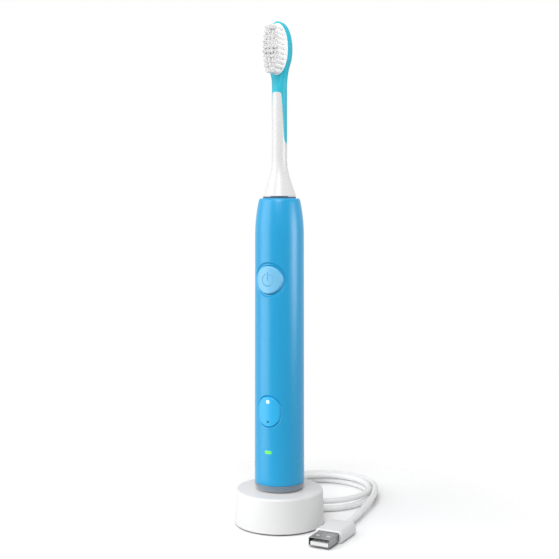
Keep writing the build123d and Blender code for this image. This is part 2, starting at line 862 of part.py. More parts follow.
def switch_body(level):
    """Body of a push switch on the board's front, with the well of its plunger."""
    with BuildPart() as body:
        with BuildSketch(Plane.XZ.offset(-board_front_y)):
            with Locations((0, level)):
                Rectangle(switch_width, switch_width)
        extrude(amount=switch_height)
        with BuildSketch(Plane.XZ.offset(switch_height - board_front_y)):
            with Locations((0, level)):
                Circle(plunger_radius + running)
        extrude(amount=-(plunger_root + plunger_proud), mode=Mode.SUBTRACT)
    return body.part


def switch_plunger(level):
    """Plunger of a push switch, which the button's stem rests on."""
    with BuildPart() as plunger:
        with BuildSketch(Plane.XZ.offset(-stem_end_y)):
            with Locations((0, level)):
                Circle(plunger_radius)
        extrude(amount=-(plunger_proud + plunger_root))
    return plunger.part


# Push switches under the two buttons
with BuildPart() as power_switch:
    add(switch_body(power_z))
power_switch.part.label = "power_switch"
export_step(power_switch.part, "parts/power_switch.step")

with BuildPart() as mode_switch:
    add(switch_body(mode_z))
mode_switch.part.label = "mode_switch"
export_step(mode_switch.part, "parts/mode_switch.step")

with BuildPart() as power_plunger:
    add(switch_plunger(power_z))
power_plunger.part.label = "power_plunger"
export_step(power_plunger.part, "parts/power_plunger.step")

with BuildPart() as mode_plunger:
    add(switch_plunger(mode_z))
mode_plunger.part.label = "mode_plunger"
export_step(mode_plunger.part, "parts/mode_plunger.step")

# Charge lamp on the board and the light pipe in front of it
with BuildPart() as charge_led:
    with BuildSketch(Plane.XZ.offset(-board_front_y)):
        with Locations((0, lamp_z)):
            Rectangle(lamp_width - 2 * free, lamp_height - 2 * free)
    extrude(amount=led_height)
charge_led.part.label = "charge_led"
export_step(charge_led.part, "parts/charge_led.step")

with BuildPart() as charge_light:
    add(pill_prism(lamp_z, lamp_width, lamp_height, board_front_y - led_height))
    add(handle_outer, mode=Mode.INTERSECT)
charge_light.part.label = "charge_light"
export_step(charge_light.part, "parts/charge_light.step")

# Power button: a curved cap that stands proud, a flange behind the wall and a stem
power_face = handle_form(power_proud)
flange_rod = bore_cylinder(flange_outer_radius)
hollow_rod = bore_cylinder(flange_inner_radius)
with BuildPart() as power_button:
    add(round_prism(power_z, power_radius + button_flange_width, 0))
    add(flange_rod, mode=Mode.INTERSECT)
    add(round_prism(power_z, power_radius, 0))
    add(power_face, mode=Mode.INTERSECT)
    add(hollow_rod, mode=Mode.SUBTRACT)
    fillet(power_button.faces().sort_by(Axis.Y)[0].edges(), radius=button_edge_round)
    with BuildSketch(Plane.XZ.offset(-stem_end_y)):
        with Locations((0, power_z)):
            Circle(stem_radius)
    extrude(amount=flange_outer_radius + stem_end_y)
power_button.part.label = "power_button"
export_step(power_button.part, "parts/power_button.step")

# Mode button: a pill-shaped cap with two inlaid dots
mode_face = handle_form(mode_proud)
dot_levels = [mode_z + dot_spacing / 2, mode_z - dot_spacing / 2]
with BuildPart() as mode_button:
    add(pill_prism(mode_z, mode_width + 2 * button_flange_width, mode_length + 2 * button_flange_width, 0))
    add(flange_rod, mode=Mode.INTERSECT)
    add(pill_prism(mode_z, mode_width, mode_length, 0))
    add(mode_face, mode=Mode.INTERSECT)
    add(hollow_rod, mode=Mode.SUBTRACT)
    fillet(mode_button.faces().sort_by(Axis.Y)[0].edges(), radius=mode_proud)
    with BuildSketch(Plane.XZ.offset(-stem_end_y)):
        with Locations((0, mode_z)):
            Circle(stem_radius)
    extrude(amount=flange_outer_radius + stem_end_y)
    for level, radius in zip(dot_levels, [light_dot_radius, dark_dot_radius]):
        with BuildSketch(Plane.XZ.offset(shell_shoulder_radius - dot_depth)):
            with Locations((0, level)):
                Circle(radius + slip)
        extrude(amount=front_reach - shell_shoulder_radius, mode=Mode.SUBTRACT)
mode_button.part.label = "mode_button"
export_step(mode_button.part, "parts/mode_button.step")

with BuildPart() as mode_light_dot:
    add(round_prism(dot_levels[0], light_dot_radius, dot_depth - shell_shoulder_radius))
    add(mode_face, mode=Mode.INTERSECT)
mode_light_dot.part.label = "mode_light_dot"
export_step(mode_light_dot.part, "parts/mode_light_dot.step")

with BuildPart() as mode_dark_dot:
    add(round_prism(dot_levels[1], dark_dot_radius, dot_depth - shell_shoulder_radius))
    add(mode_face, mode=Mode.INTERSECT)
mode_dark_dot.part.label = "mode_dark_dot"
export_step(mode_dark_dot.part, "parts/mode_dark_dot.step")

# Drive shaft with the flat that the brush head grips
with BuildPart() as drive_shaft:
    with BuildSketch(Plane.XY.offset(motor_bulkhead_z)):
        Circle(shaft_radius)
    extrude(amount=top_z + shaft_reach - motor_bulkhead_z)
    chamfer(drive_shaft.edges().group_by(Axis.Z)[-1], length=shaft_flat_depth)
    with BuildSketch(Plane.XY.offset(top_z + shaft_reach)):
        with Locations((0, -2 * shaft_radius + shaft_flat_depth)):
            Rectangle(2 * shaft_radius, 2 * shaft_radius)
    extrude(amount=-shaft_flat_length, mode=Mode.SUBTRACT)
drive_shaft.part.label = "drive_shaft"
export_step(drive_shaft.part, "parts/drive_shaft.step")

# Magnet rotor on the shaft, between the stator's poles
with BuildPart() as magnet_rotor:
    with BuildSketch(Plane.XY.offset(motor_z + air_gap)):
        Circle(rotor_radius)
        Circle(shaft_radius + slip, mode=Mode.SUBTRACT)
    extrude(amount=stator_length - 2 * air_gap)
magnet_rotor.part.label = "magnet_rotor"
export_step(magnet_rotor.part, "parts/magnet_rotor.step")

# Stator ring, clamped between two bulkheads clear of the pressed button, with slots for the winding
stator_radius = flange_inner_radius - button_travel - 2 * free
slot_depth = stator_radius - rotor_radius - air_gap
slot_middle = stator_radius - slot_depth / 2
with BuildPart() as stator_core:
    with BuildSketch(Plane.XY.offset(motor_z)):
        Circle(stator_radius)
        Circle(rotor_radius + air_gap, mode=Mode.SUBTRACT)
        with Locations((slot_middle, 0), (-slot_middle, 0)):
            Rectangle(slot_depth / 2, stator_slot_width, mode=Mode.SUBTRACT)
    extrude(amount=stator_length)
stator_core.part.label = "stator_core"
export_step(stator_core.part, "parts/stator_core.step")

with BuildPart() as drive_coil:
    with BuildSketch(Plane.XY.offset(motor_z)):
        with Locations((slot_middle, 0), (-slot_middle, 0)):
            Rectangle(slot_depth / 2 - 2 * slip, stator_slot_width - 2 * slip)
    extrude(amount=stator_length)
drive_coil.part.label = "drive_coil"
export_step(drive_coil.part, "parts/drive_coil.step")

# Bearings in the motor bulkhead and at the top of the tower
with BuildPart() as lower_bearing:
    with BuildSketch(Plane.XY.offset(motor_bulkhead_z)):
        Circle(bearing_radius)
        Circle(shaft_radius + running, mode=Mode.SUBTRACT)
    extrude(amount=bulkhead_thickness)
lower_bearing.part.label = "lower_bearing"
export_step(lower_bearing.part, "parts/lower_bearing.step")

with BuildPart() as upper_bearing:
    with BuildSketch(Plane.XY.offset(tower_z)):
        Circle(bearing_radius)
        Circle(shaft_radius + running, mode=Mode.SUBTRACT)
    extrude(amount=-bearing_length)
upper_bearing.part.label = "upper_bearing"
export_step(upper_bearing.part, "parts/upper_bearing.step")

# Rubber seal round the shaft at the handle's top
seal_seat_z = top_z - seal_flange_seat
seal_flange_z = top_z + seal_flange_proud
seal_root_z = top_z - shell_top_thickness
with BuildPart() as shaft_seal:
    with BuildSketch(Plane.XZ):
        with BuildLine():
            Polyline(
                (shaft_radius + running, seal_root_z),
                (seal_plug_radius, seal_root_z),
                (seal_plug_radius, seal_seat_z),
                (seal_flange_radius, seal_seat_z),
                (seal_flange_radius, seal_flange_z),
                (seal_plug_radius, seal_flange_z),
                (seal_lip_radius, seal_flange_z + seal_lip_height),
                (shaft_radius + running, seal_flange_z + seal_lip_height),
                close=True,
            )
        make_face()
    revolve(axis=Axis.Z)
shaft_seal.part.label = "shaft_seal"
export_step(shaft_seal.part, "parts/shaft_seal.step")

# Pocket for the bristle plate in the front of the brush head
head_centre_z = head_z + head_centre_height
plate_half_width = head_half_width - rim
plate_half_length = head_half_length - rim
plate_back = head_front + plate_proud - plate_thickness
with BuildPart() as plate_pocket:
    with BuildSketch(Plane.XZ.offset(plate_back)):
        with Locations((0, head_centre_z)):
            Ellipse(plate_half_width + slip, plate_half_length + slip)
    extrude(amount=front_reach)

# Turquoise overmould: a skin over the head, a collar and a tongue down the back of the neck
panel_z = head_z + panel_top_height
tongue_z = head_z + tongue_height
tongue_end_z = head_z + tongue_end_height
head_top_z = head_centre_z + 2 * head_half_length
skin_reach = 3 * neck_radius
with BuildPart() as skin_region:
    with BuildSketch(Plane.YZ):
        with BuildLine():
            Polyline(
                (-skin_reach, panel_z),
                (-panel_half_depth, panel_z),
                (-tongue_half_depth, tongue_z),
                (neck_radius, tongue_end_z),
                (skin_reach, tongue_end_z),
                (skin_reach, head_top_z),
                (-skin_reach, head_top_z),
                close=True,
            )
        make_face()
        fillet(vertices().sort_by_distance((-panel_half_depth, panel_z))[0], radius=panel_corner_round)
        fillet(vertices().sort_by_distance((-tongue_half_depth, tongue_z))[0], radius=tongue_corner_round)
    extrude(amount=skin_reach, both=True)

head_outer = head_form(0)
head_core = head_form(skin)
with BuildPart() as neck_overmould:
    add(head_outer)
    add(skin_region.part, mode=Mode.INTERSECT)
    add(head_core, mode=Mode.SUBTRACT)
    add(plate_pocket.part, mode=Mode.SUBTRACT)
neck_overmould.part.label = "neck_overmould"
export_step(neck_overmould.part, "parts/neck_overmould.step")

# White neck with its hollow skirt and the bore for the clip
clip_radius = shaft_radius + running + clip_wall
clip_z = head_z + skirt_depth
clip_top_z = top_z + shaft_reach + free
with BuildPart() as brush_neck:
    add(head_outer)
    add(plate_pocket.part, mode=Mode.SUBTRACT)
    add(neck_overmould.part, mode=Mode.SUBTRACT)
    flare_slope = (skirt_radius - flare_radius) / flare_height
    with BuildSketch(Plane.XZ):
        with BuildLine():
            Polyline(
                (0, head_z),
                (skirt_radius - skirt_wall, head_z),
                (skirt_radius - skirt_wall - flare_slope * skirt_depth, clip_z),
                (0, clip_z),
                close=True,
            )
        make_face()
    revolve(axis=Axis.Z, mode=Mode.SUBTRACT)
    with BuildSketch(Plane.XY.offset(clip_z)):
        Circle(clip_radius + slip)
    extrude(amount=clip_top_z - clip_z, mode=Mode.SUBTRACT)
brush_neck.part.label = "brush_neck"
export_step(brush_neck.part, "parts/brush_neck.step")

# Clip in the neck that grips the shaft's flat
with BuildPart() as shaft_clip:
    with BuildSketch(Plane.XY.offset(clip_z)):
        Circle(clip_radius)
        Circle(shaft_radius + running, mode=Mode.SUBTRACT)
    extrude(amount=clip_top_z - clip_z)
    with BuildSketch(Plane.XY.offset(clip_top_z)):
        with Locations((0, -2 * shaft_radius + shaft_flat_depth - running)):
            Rectangle(2 * shaft_radius, 2 * shaft_radius)
        Circle(shaft_radius + 2 * running, mode=Mode.INTERSECT)
    extrude(amount=-shaft_flat_length)
shaft_clip.part.label = "shaft_clip"
export_step(shaft_clip.part, "parts/shaft_clip.step")

# Bristle plate with its tufts, whose rows stand highest in the middle
plate_front = plate_back + plate_thickness


def row_strands(offset):
    """Places of the strands in one row of tufts, at a height from the head's centre."""
    room = plate_half_width * math.sqrt(1 - (offset / plate_half_length) ** 2) - tuft_margin
    count = int(2 * room / tuft_pitch) + 1
    places = []
    for tuft in range(count):
        centre = (tuft - (count - 1) / 2) * tuft_pitch
        for circle, strands in [(inner_strand_circle, inner_strands), (outer_strand_circle, outer_strands)]:
            for strand in range(strands):
                angle = 2 * math.pi * (strand + 0.5 * tuft) / strands
                places.append((centre + circle * math.cos(angle), offset + circle * math.sin(angle)))
    return places


strand_total = 0
strand_solids = []
for row in range(tuft_rows):
    row_offset = (row - (tuft_rows - 1) / 2) * tuft_row_pitch
    strand_places = row_strands(row_offset)
    strand_total += len(strand_places)
    row_length = bristle_length + bristle_wave * math.cos(math.pi * row_offset / plate_half_length)
    with BuildPart() as row_bristles:
        with BuildSketch(Plane.XZ.offset(plate_front - plate_thickness / 4)):
            with Locations(*[(x, z + head_centre_z) for x, z in strand_places]):
                Rectangle(strand_width, strand_width)
        extrude(amount=row_length + plate_thickness / 4)
    strand_solids.extend(row_bristles.part.solids())

with BuildPart() as bristle_field:
    with BuildSketch(Plane.XZ.offset(plate_back)):
        with Locations((0, head_centre_z)):
            Ellipse(plate_half_width, plate_half_length)
    extrude(amount=plate_thickness)
    add(strand_solids)
bristle_field.part.label = "bristle_field"
export_step(bristle_field.part, "parts/bristle_field.step")

# Measures of the cord and the bristles
section_area = cord_sides / 2 * cord_radius**2 * math.sin(2 * math.pi / cord_sides)
for name, tube, route in [
    ("cord_lead", cord_lead, lead_path),
    ("cord_coil", cord_coil, coil_path),
    ("cord_tail", cord_tail, tail_path),
]:
    length = route.wires()[0].length
    expected = section_area * length
    print(f"{name}: length {length:.1f}, volume {tube.part.volume:.1f}, section x length {expected:.1f}")
print("lead radii", [round(r, 1) for r in lead_radii])
print("tail radii", [round(r, 1) for r in tail_radii])
samples = 360
spots = [coil_path.wires()[0].position_at(i / samples) for i in range(samples + 1)]
apart = int(samples * 180 / coil_sweep)
least = min((spots[i] - spots[j]).length for i in range(samples + 1) for j in range(i + apart, samples + 1))
print(f"coil: least gap to itself {least - cord_diameter:.2f}")
print(f"bristles: {strand_total} strands")
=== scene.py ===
"""An electric toothbrush on its puck charger: looks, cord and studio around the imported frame."""
import json
import math
import random

import bmesh
import bpy
from mathutils import Matrix, Vector


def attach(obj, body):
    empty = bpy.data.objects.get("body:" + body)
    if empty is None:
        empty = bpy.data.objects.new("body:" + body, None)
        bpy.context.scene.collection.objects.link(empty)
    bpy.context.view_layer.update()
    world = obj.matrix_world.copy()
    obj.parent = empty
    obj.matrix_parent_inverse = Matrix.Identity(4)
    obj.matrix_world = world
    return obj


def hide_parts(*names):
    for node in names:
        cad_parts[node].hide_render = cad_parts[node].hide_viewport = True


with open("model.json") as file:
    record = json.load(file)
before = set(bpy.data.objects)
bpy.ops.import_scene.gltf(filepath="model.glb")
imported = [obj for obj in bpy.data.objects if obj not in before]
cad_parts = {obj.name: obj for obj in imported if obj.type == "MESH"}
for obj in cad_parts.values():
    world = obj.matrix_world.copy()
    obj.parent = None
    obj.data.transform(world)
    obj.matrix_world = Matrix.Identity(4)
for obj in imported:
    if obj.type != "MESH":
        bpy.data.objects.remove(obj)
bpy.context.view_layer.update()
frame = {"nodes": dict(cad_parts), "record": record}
nodes = frame["nodes"]
MM = 0.001

# Photograph's frame and camera
IMAGE_SIZE = 559
FOCAL_PIXELS = 1060
SENSOR_WIDTH = 36.0
CAMERA_AZIMUTH = 27.0
CAMERA_DISTANCE = 0.582
CAMERA_HEIGHT = 0.182
CAMERA_PITCH = 4.45

# Handle, in millimetres as in the frame
SHELL_Z = 24.2
SHOULDER_Z = 161.0
TOP_Z = 181.3
SHELL_BOTTOM_RADIUS = 13.8
SHELL_SHOULDER_RADIUS = 13.4
SHELL_TOP_RADIUS = 11.1
BORE_RADIUS = 11.7
LIP_HEIGHT = 0.3
LIP_DEPTH = 2.0
LIP_ROUND = [(0.25, 0.0), (0.07, 0.08)]
RIM_HEIGHT = 1.1
RIM_ROUND = [(0.17, 0.71), (0.36, 0.4), (0.62, 0.16), (0.92, 0.04), (1.22, 0.0)]
SEAL_SEAT_RADIUS = 9.02
SEAL_SEAT_DEPTH = 0.8
SHAFT_HOLE_RADIUS = 5.02
SHAFT_HOLE_DEPTH = 2.5

# Buttons, their recesses and wells, and the charge lamp
POWER_Z = 137.4
POWER_RADIUS = 7.45
POWER_PROUD = 0.8
POWER_EDGE_ROUND = 0.6
POWER_WALL = 1.4
POWER_RECESS_RADIUS = 9.6
POWER_RECESS_DEPTH = 0.7
POWER_WELL_EDGE = (0.18, 0.5)
MODE_Z = 65.4
MODE_WIDTH = 12.8
MODE_LENGTH = 16.3
MODE_PROUD = 0.4
MODE_EDGE_ROUND = 0.4
MODE_WALL = 1.2
MODE_RECESS_MARGIN = 1.0
MODE_RECESS_DEPTH = 0.4
MODE_WELL_EDGE = (0.16, 0.44)
RECESS_SLOPE = 1.3
WELL_DEPTH = 2.4
FLANGE_REACH = 0.3
DOT_SPACING = 11.0
LIGHT_DOT = 2.2
DARK_DOT = 1.4
LAMP_Z = 42.9
LAMP_WIDTH = 4.5
LAMP_HEIGHT = 1.9
LAMP_FADE = (0.6, 2.3)

# Power mark, where each pair is the start and the end of a soft edge
MARK_RADIUS = 3.3
MARK_LINE = (0.22, 0.42)
MARK_GAP = (1.0, 1.3)
MARK_GAP_FOOT = (0.0, 0.4)
MARK_BAR_MIDDLE = 1.9
MARK_BAR_END = (2.2, 2.4)
# Painted shade: across this span the ring's dark colour fades out over its right side
MARK_SHADE_FADE = (0.3, 2.6)

# Bottom cap and charger
FOOT_HEIGHT = 0.9
SEAT_Z = 20.0
SOCKET_RADIUS = 4.9
SOCKET_TOP_Z = 31.4
SOCKET_WALL = 1.2
CAP_FLOOR_Z = 21.6
CAP_ROUND = 3.0
CAP_GAP = 0.06
SLEEVE_RADIUS = 11.6
SLEEVE_BORE = 10.1
SLEEVE_HEIGHT = 7.0
PUCK_RADIUS = 24.8
PUCK_TOP_RADIUS = 24.3
PUCK_TOP_ROUND = 1.3
PUCK_HOLLOW_RADIUS = 22.5
PUCK_HOLLOW_Z = 3.2
POST_RADIUS = 4.5
POST_HEIGHT = 11.0
POST_ROUND = 1.4

# Brush head
HEAD_Z = 182.4
SKIRT_RADIUS = 9.1
SKIRT_HOLLOW = [(5.0, 8.0), (5.3, 8.0), (7.75, 0.25), (8.0, 0.0)]
SKIRT_EDGE = [(8.85, 0.0), (9.0, 0.08)]
SKIRT_EDGE_HEIGHT = 0.3
FLARE_RADIUS = 5.9
FLARE_Z = 192.2
NECK_RADIUS = 4.15
NECK_Z = 202.4
ROUND_END_Z = 239.4
OVAL_START_Z = 256.4
HEAD_CENTRE_Z = 261.5
HEAD_HALF_WIDTH = 7.4
HEAD_HALF_LENGTH = 14.8
HEAD_TIP_Z = HEAD_CENTRE_Z + HEAD_HALF_LENGTH
PANEL_Z = 238.7
PANEL_CORNER = 1.4
PANEL_RISE = 1.35
TONGUE_Z = 213.2
TONGUE_END_Z = 208.7
TONGUE_DEPTH = 1.85
TONGUE_CURVE = 1.6

# Bristle plate and tufts
PLATE_BACK = 2.3
PLATE_FRONT = 3.1
PLATE_RIM = 0.06
PLATE_HALF_WIDTH = 6.4
PLATE_HALF_LENGTH = 13.8
TUFT_ROW_PITCH = 2.52
FIELD_DROP = 0.6
TUFT_PITCH = 1.65
TUFT_MARGIN = 3.1
TUFT_RADIUS = 1.31
TUFT_FLUTE = 0.05
TUFT_SIDES = 32
TUFT_CHANCE = 0.3
BRISTLE_LENGTH = 8.2
ROW_TRIMS = (0.2, -0.1, -0.3, -0.3, 0.4, 0.4, -0.2, -0.5, -0.6, -0.4)
TIPS = 46
TIP_SPREAD = 1.42
TIP_RADIUS = 0.16
TIP_LENGTH = 0.24
TIP_SIDES = 6
TIP_CHANCE = 0.2
TIP_JITTER = 0.05
TIP_PAINTED_SHADE = (-9.3, -10.7)
GOLDEN_ANGLE = 2.399963

# Cord, as in the frame
CORD_DIAMETER = 3.5
EXIT_ANGLE = 133.0
EXIT_HEIGHT = 6.4
GLAND_TIP = 31.8
LEAD_WAYS = (-4.0, 4.0, 10.5)
COIL_ENTRY = 9.5
COIL_CENTRE = (-2.0, 58.7)
COIL_START_ANGLE = 182.0
COIL_SWEEP = 887.0
COIL_FIRST_RADIUS = 31.8
COIL_TURN_STEP = 4.1
COIL_LAYER_STEP = 4.0
CLIMB_START = 265.0
CLIMB_END = 445.0
COIL_POINT_TURN = 15.0
NEAR_TURN = 245.0
NEAR_BULGE = 3.4
COIL_LEAVE = 15.0
TAIL_BEND = (37.0, 33.5, 4.5)
TAIL_WAYS = (16.1, 6.0, -2.0)

# Plug
PLUG_X = 38.6
PLUG_REAR_Y = 0.4
PLUG_HEIGHT = 3.4
GRIP_LENGTH = 19.3
GRIP_WIDTH = 15.8
GRIP_HEIGHT = 6.8
GRIP_CORNER = 2.4
GRIP_REAR_ROUND = 1.0
GRIP_FRONT_ROUND = 0.8
MOUTH_GAP = 0.1
USB_WIDTH = 12.0
USB_HEIGHT = 4.5
USB_WALL = 0.3
USB_LENGTH = 11.8
USB_ROOT = 4.0
USB_CORNER = 0.6
USB_LIP = 0.03
WINDOW_WIDTH = 2.0
WINDOW_LENGTH = 1.6
WINDOW_SPACING = 5.9
WINDOW_WAY = 6.8
RIB_GAP = 0.1
RIB_RISE = 0.26
RIB_DEPTH = 0.4

# Looks: colour, grains per metre, the pitch of windings in millimetres and the glow of the cord
HANDLE_COLOUR = (10, 155, 208)
FINE_GRAIN = 2600.0
WINDING_PITCH = 0.5
CORD_GLOW = {"Subsurface Weight": 0.6, "Subsurface Radius": (1.0, 1.0, 1.0), "Subsurface Scale": 0.002}

# Studio, with lengths in metres
WHITE = (1.0, 1.0, 1.0, 1.0)
WORLD_LIGHT = 0.28
FLOOR_COLOUR = (0.85, 0.85, 0.85, 1.0)
FLOOR_GLOW = 0.26
FLOOR_REACH = 0.5
FLOOR_FADE = (0.1, 0.165)
SHADE_REACH = 0.02
SHADE_EDGE = (0.3, 0.95)
LIT_HEIGHT = 0.13


# Shader values and finishes


class Value:
    """A socket that takes part in sums and products, each of which adds a Math node."""

    def __init__(self, finish, socket):
        self.finish = finish
        self.socket = socket

    def math(self, operation, *values):
        """The result of one operation on the values."""
        return self.finish.node("ShaderNodeMath", {"operation": operation}, dict(enumerate(values)))

    def __add__(self, other):
        return self.math("ADD", self, other)

    def __radd__(self, other):
        return self.math("ADD", other, self)

    def __sub__(self, other):
        return self.math("SUBTRACT", self, other)

    def __rsub__(self, other):
        return self.math("SUBTRACT", other, self)

    def __mul__(self, other):
        return self.math("MULTIPLY", self, other)

    def __rmul__(self, other):
        return self.math("MULTIPLY", other, self)

    def __abs__(self):
        return self.math("ABSOLUTE", self)

    def upper(self, other):
        return self.math("MAXIMUM", self, other)

    def root(self):
        return self.math("SQRT", self)

    def step(self, low, high):
        """0 below low and 1 above high, with a soft rise between."""
        settings = {"interpolation_type": "SMOOTHSTEP"}
        return self.finish.node("ShaderNodeMapRange", settings, {0: self, 1: low, 2: high})


class Finish:
    """A material, or a given world, and the one method that makes its nodes."""

    def __init__(self, name, world=None):
        self.holder = world or bpy.data.materials.new(name)
        self.holder.use_nodes = True
        self.tree = self.holder.node_tree
        self.tree.nodes.clear()

    def node(self, kind, settings=None, inputs=None, output=0):
        """A new node with its settings and inputs, as the value of one of its outputs."""
        made = self.tree.nodes.new(kind)
        for key, setting in (settings or {}).items():
            setattr(made, key, setting)
        for key, given in (inputs or {}).items():
            if isinstance(given, Value):
                self.tree.links.new(given.socket, made.inputs[key])
            else:
                made.inputs[key].default_value = given
        return Value(self, made.outputs[output]) if made.outputs else None

    def place(self):
        """Position in the frame, in metres."""
        return self.node("ShaderNodeTexCoord", output="Object")

    def axis(self, letter):
        """One coordinate of the position, in millimetres."""
        along = self.node("ShaderNodeSeparateXYZ", None, {0: self.place()}, letter)
        return along * 1000.0

    def noise(self, scale, detail=2.0, stretch=(1.0, 1.0, 1.0)):
        """Noise from 0 to 1, with scale in grains per metre."""
        spot = self.node("ShaderNodeVectorMath", {"operation": "MULTIPLY"}, {0: self.place(), 1: stretch})
        return self.node("ShaderNodeTexNoise", None, {"Vector": spot, "Scale": scale, "Detail": detail})

    def mix(self, factor, first, second):
        """Colour between first and second."""
        settings = {"data_type": "RGBA"}
        return self.node("ShaderNodeMix", settings, {0: factor, 6: first, 7: second}, 2)

    def bump(self, height, strength, distance):
        """Normals of a relief that is distance metres deep."""
        inputs = {"Height": height, "Strength": strength, "Distance": distance}
        return self.node("ShaderNodeBump", None, inputs)

    def looked_at(self):
        """1 for rays from the camera, a mirror or glass, and 0 for rays that only carry light."""
        seen = self.node("ShaderNodeLightPath", output="Is Camera Ray")
        mirrored = self.node("ShaderNodeLightPath", output="Is Glossy Ray")
        through = self.node("ShaderNodeLightPath", output="Is Transmission Ray")
        return seen.upper(mirrored).upper(through)

    def shade(self, inputs):
        """The material, finished with one surface shader."""
        surface = self.node("ShaderNodeBsdfPrincipled", None, inputs)
        self.node("ShaderNodeOutputMaterial", None, {"Surface": surface})
        return self.holder


def rgb(red, green, blue):
    """A screen colour from 0 to 255, as the linear colour that shaders take."""
    linear = []
    for part in (red, green, blue):
        share = part / 255
        linear.append(share / 12.92 if share <= 0.04045 else ((share + 0.055) / 1.055) ** 2.4)
    return (*linear, 1.0)


def tinted(colour, factor):
    """The colour made darker or lighter by a factor."""
    return tuple(min(part * factor, 1.0) for part in colour[:3]) + (1.0,)


def mottled(finish, dark, light):
    """Colour of moulded plastic with faint flow marks and clouds, and the clouds by themselves."""
    flow = finish.noise(60.0, 3.0, (1.0, 1.0, 0.35))
    cloud = finish.noise(900.0)
    return finish.mix(flow * 0.6 + cloud * 0.4, dark, light), cloud


def moulded_plastic(name, colour, roughness, grain_depth=0.004):
    """Moulded plastic: a fine spark-eroded grain, faint flow marks and uneven gloss."""
    finish = Finish(name)
    shade, cloud = mottled(finish, tinted(colour, 0.965), tinted(colour, 1.035))
    inputs = {
        "Base Color": shade,
        "Roughness": roughness - 0.04 + 0.08 * cloud,
        "Normal": finish.bump(finish.noise(FINE_GRAIN, 1.0), 0.35, grain_depth * MM),
    }
    return finish.shade(inputs)


def puck_plastic():
    """White moulding of the charger, with a painted warm tint on its top, which the handle stands on, that
    offsets the blue light the handle throws on it.
    """
    finish = Finish("puck_white")
    # Painted tint: the top is warmed to cancel the handle's blue bounce light
    top = finish.axis("Z").step(SEAT_Z - 0.5, SEAT_Z - 0.1)
    plain, cloud = mottled(finish, rgb(222, 222, 222), rgb(228, 228, 228))
    inputs = {
        "Base Color": finish.mix(top, plain, rgb(230, 226, 224)),
        "Roughness": 0.38 + 0.08 * cloud,
        "Normal": finish.bump(finish.noise(FINE_GRAIN, 1.0), 0.35, 0.004 * MM),
    }
    return finish.shade(inputs)


def brushed_metal(name, colour, roughness, stretch):
    """Metal with fine brush lines, which run along the axes where the stretch is small."""
    finish = Finish(name)
    lines = finish.noise(900.0, 3.0, stretch)
    smudge = finish.noise(160.0)
    shade = finish.mix(lines, tinted(colour, 0.9), tinted(colour, 1.06))
    inputs = {
        "Base Color": shade,
        "Roughness": roughness - 0.06 + 0.10 * lines + 0.06 * smudge,
        "Normal": finish.bump(lines, 0.25, 0.01 * MM),
        "Metallic": 1.0,
    }
    return finish.shade(inputs)


def soft_rubber(name, colour, roughness, glow=None):
    """Soft moulded rubber: a dull, closely grained skin, with a glow if light soaks into it."""
    finish = Finish(name)
    cloud = finish.noise(500.0, 3.0)
    shade = finish.mix(cloud, tinted(colour, 0.94), tinted(colour, 1.05))
    inputs = {
        "Base Color": shade,
        "Roughness": roughness - 0.05 + 0.1 * cloud,
        "Normal": finish.bump(finish.noise(3200.0), 0.4, 0.006 * MM),
        "Specular IOR Level": 0.35,
    }
    inputs.update(glow or {})
    return finish.shade(inputs)


def pale_button():
    """Pale blue button on a flange of the handle's blue, with an engraved power mark, a ring and a bar,
    drawn in painted shade that fades out over the ring's right side.
    """
    finish = Finish("pale_button")
    colour = rgb(113, 188, 228)
    across = finish.axis("X")
    up = finish.axis("Z") - POWER_Z
    ring_way = (across * across + up * up).root()
    ring = 1.0 - abs(ring_way - MARK_RADIUS).step(*MARK_LINE)
    gap = 1.0 - abs(across).step(*MARK_GAP)
    opening = gap * up.step(*MARK_GAP_FOOT)
    bar = 1.0 - abs(across).step(*MARK_LINE)
    bar = bar * (1.0 - abs(up - MARK_BAR_MIDDLE).step(*MARK_BAR_END))
    # Painted shade: the ring's dark colour fades towards its right side
    mark = (ring * (1.0 - opening) * (1.0 - 0.75 * across.step(*MARK_SHADE_FADE))).upper(bar)
    cloud = finish.noise(700.0)
    plain = finish.mix(cloud, tinted(colour, 0.97), tinted(colour, 1.03))
    # The mark's darker colour is painted shade in the engraving
    marked_in_shade = finish.mix(mark * 0.75, plain, rgb(64, 132, 168))
    flange = ring_way.step(POWER_RADIUS, POWER_RADIUS + 0.08)
    inputs = {
        "Base Color": finish.mix(flange, marked_in_shade, rgb(*HANDLE_COLOUR)),
        "Roughness": 0.34 + 0.06 * cloud + 0.12 * mark,
        "Normal": finish.bump(finish.noise(FINE_GRAIN, 1.0) * 0.1 - mark, 0.5, 0.06 * MM),
    }
    return finish.shade(inputs)


def lit_lamp():
    """Light pipe of the charge lamp, lit green and brightest in its middle."""
    finish = Finish("lit_lamp")
    across = abs(finish.axis("X")).step(*LAMP_FADE)
    glow = finish.mix(across, rgb(128, 245, 104), rgb(64, 206, 70))
    inputs = {
        "Base Color": rgb(60, 160, 50),
        "Roughness": 0.25,
        "Emission Color": glow,
        "Emission Strength": 0.75,
    }
    return finish.shade(inputs)


def frosted_cap():
    """Slate grey moulding with a frosted sheen, paler towards its lower edge."""
    finish = Finish("frosted_cap")
    up = finish.axis("Z").step(SEAT_Z + 0.4, SHELL_Z)
    cloud = finish.noise(500.0, 3.0)
    shade = finish.mix(up * 0.75 + 0.25 * cloud, rgb(138, 152, 166), rgb(92, 112, 128))
    inputs = {
        "Base Color": shade,
        "Roughness": 0.26 + 0.1 * cloud,
        "Normal": finish.bump(cloud, 0.2, 0.01 * MM),
        "Coat Weight": 0.7,
        "Sheen Weight": 0.5,
        "Sheen Roughness": 0.3,
    }
    return finish.shade(inputs)


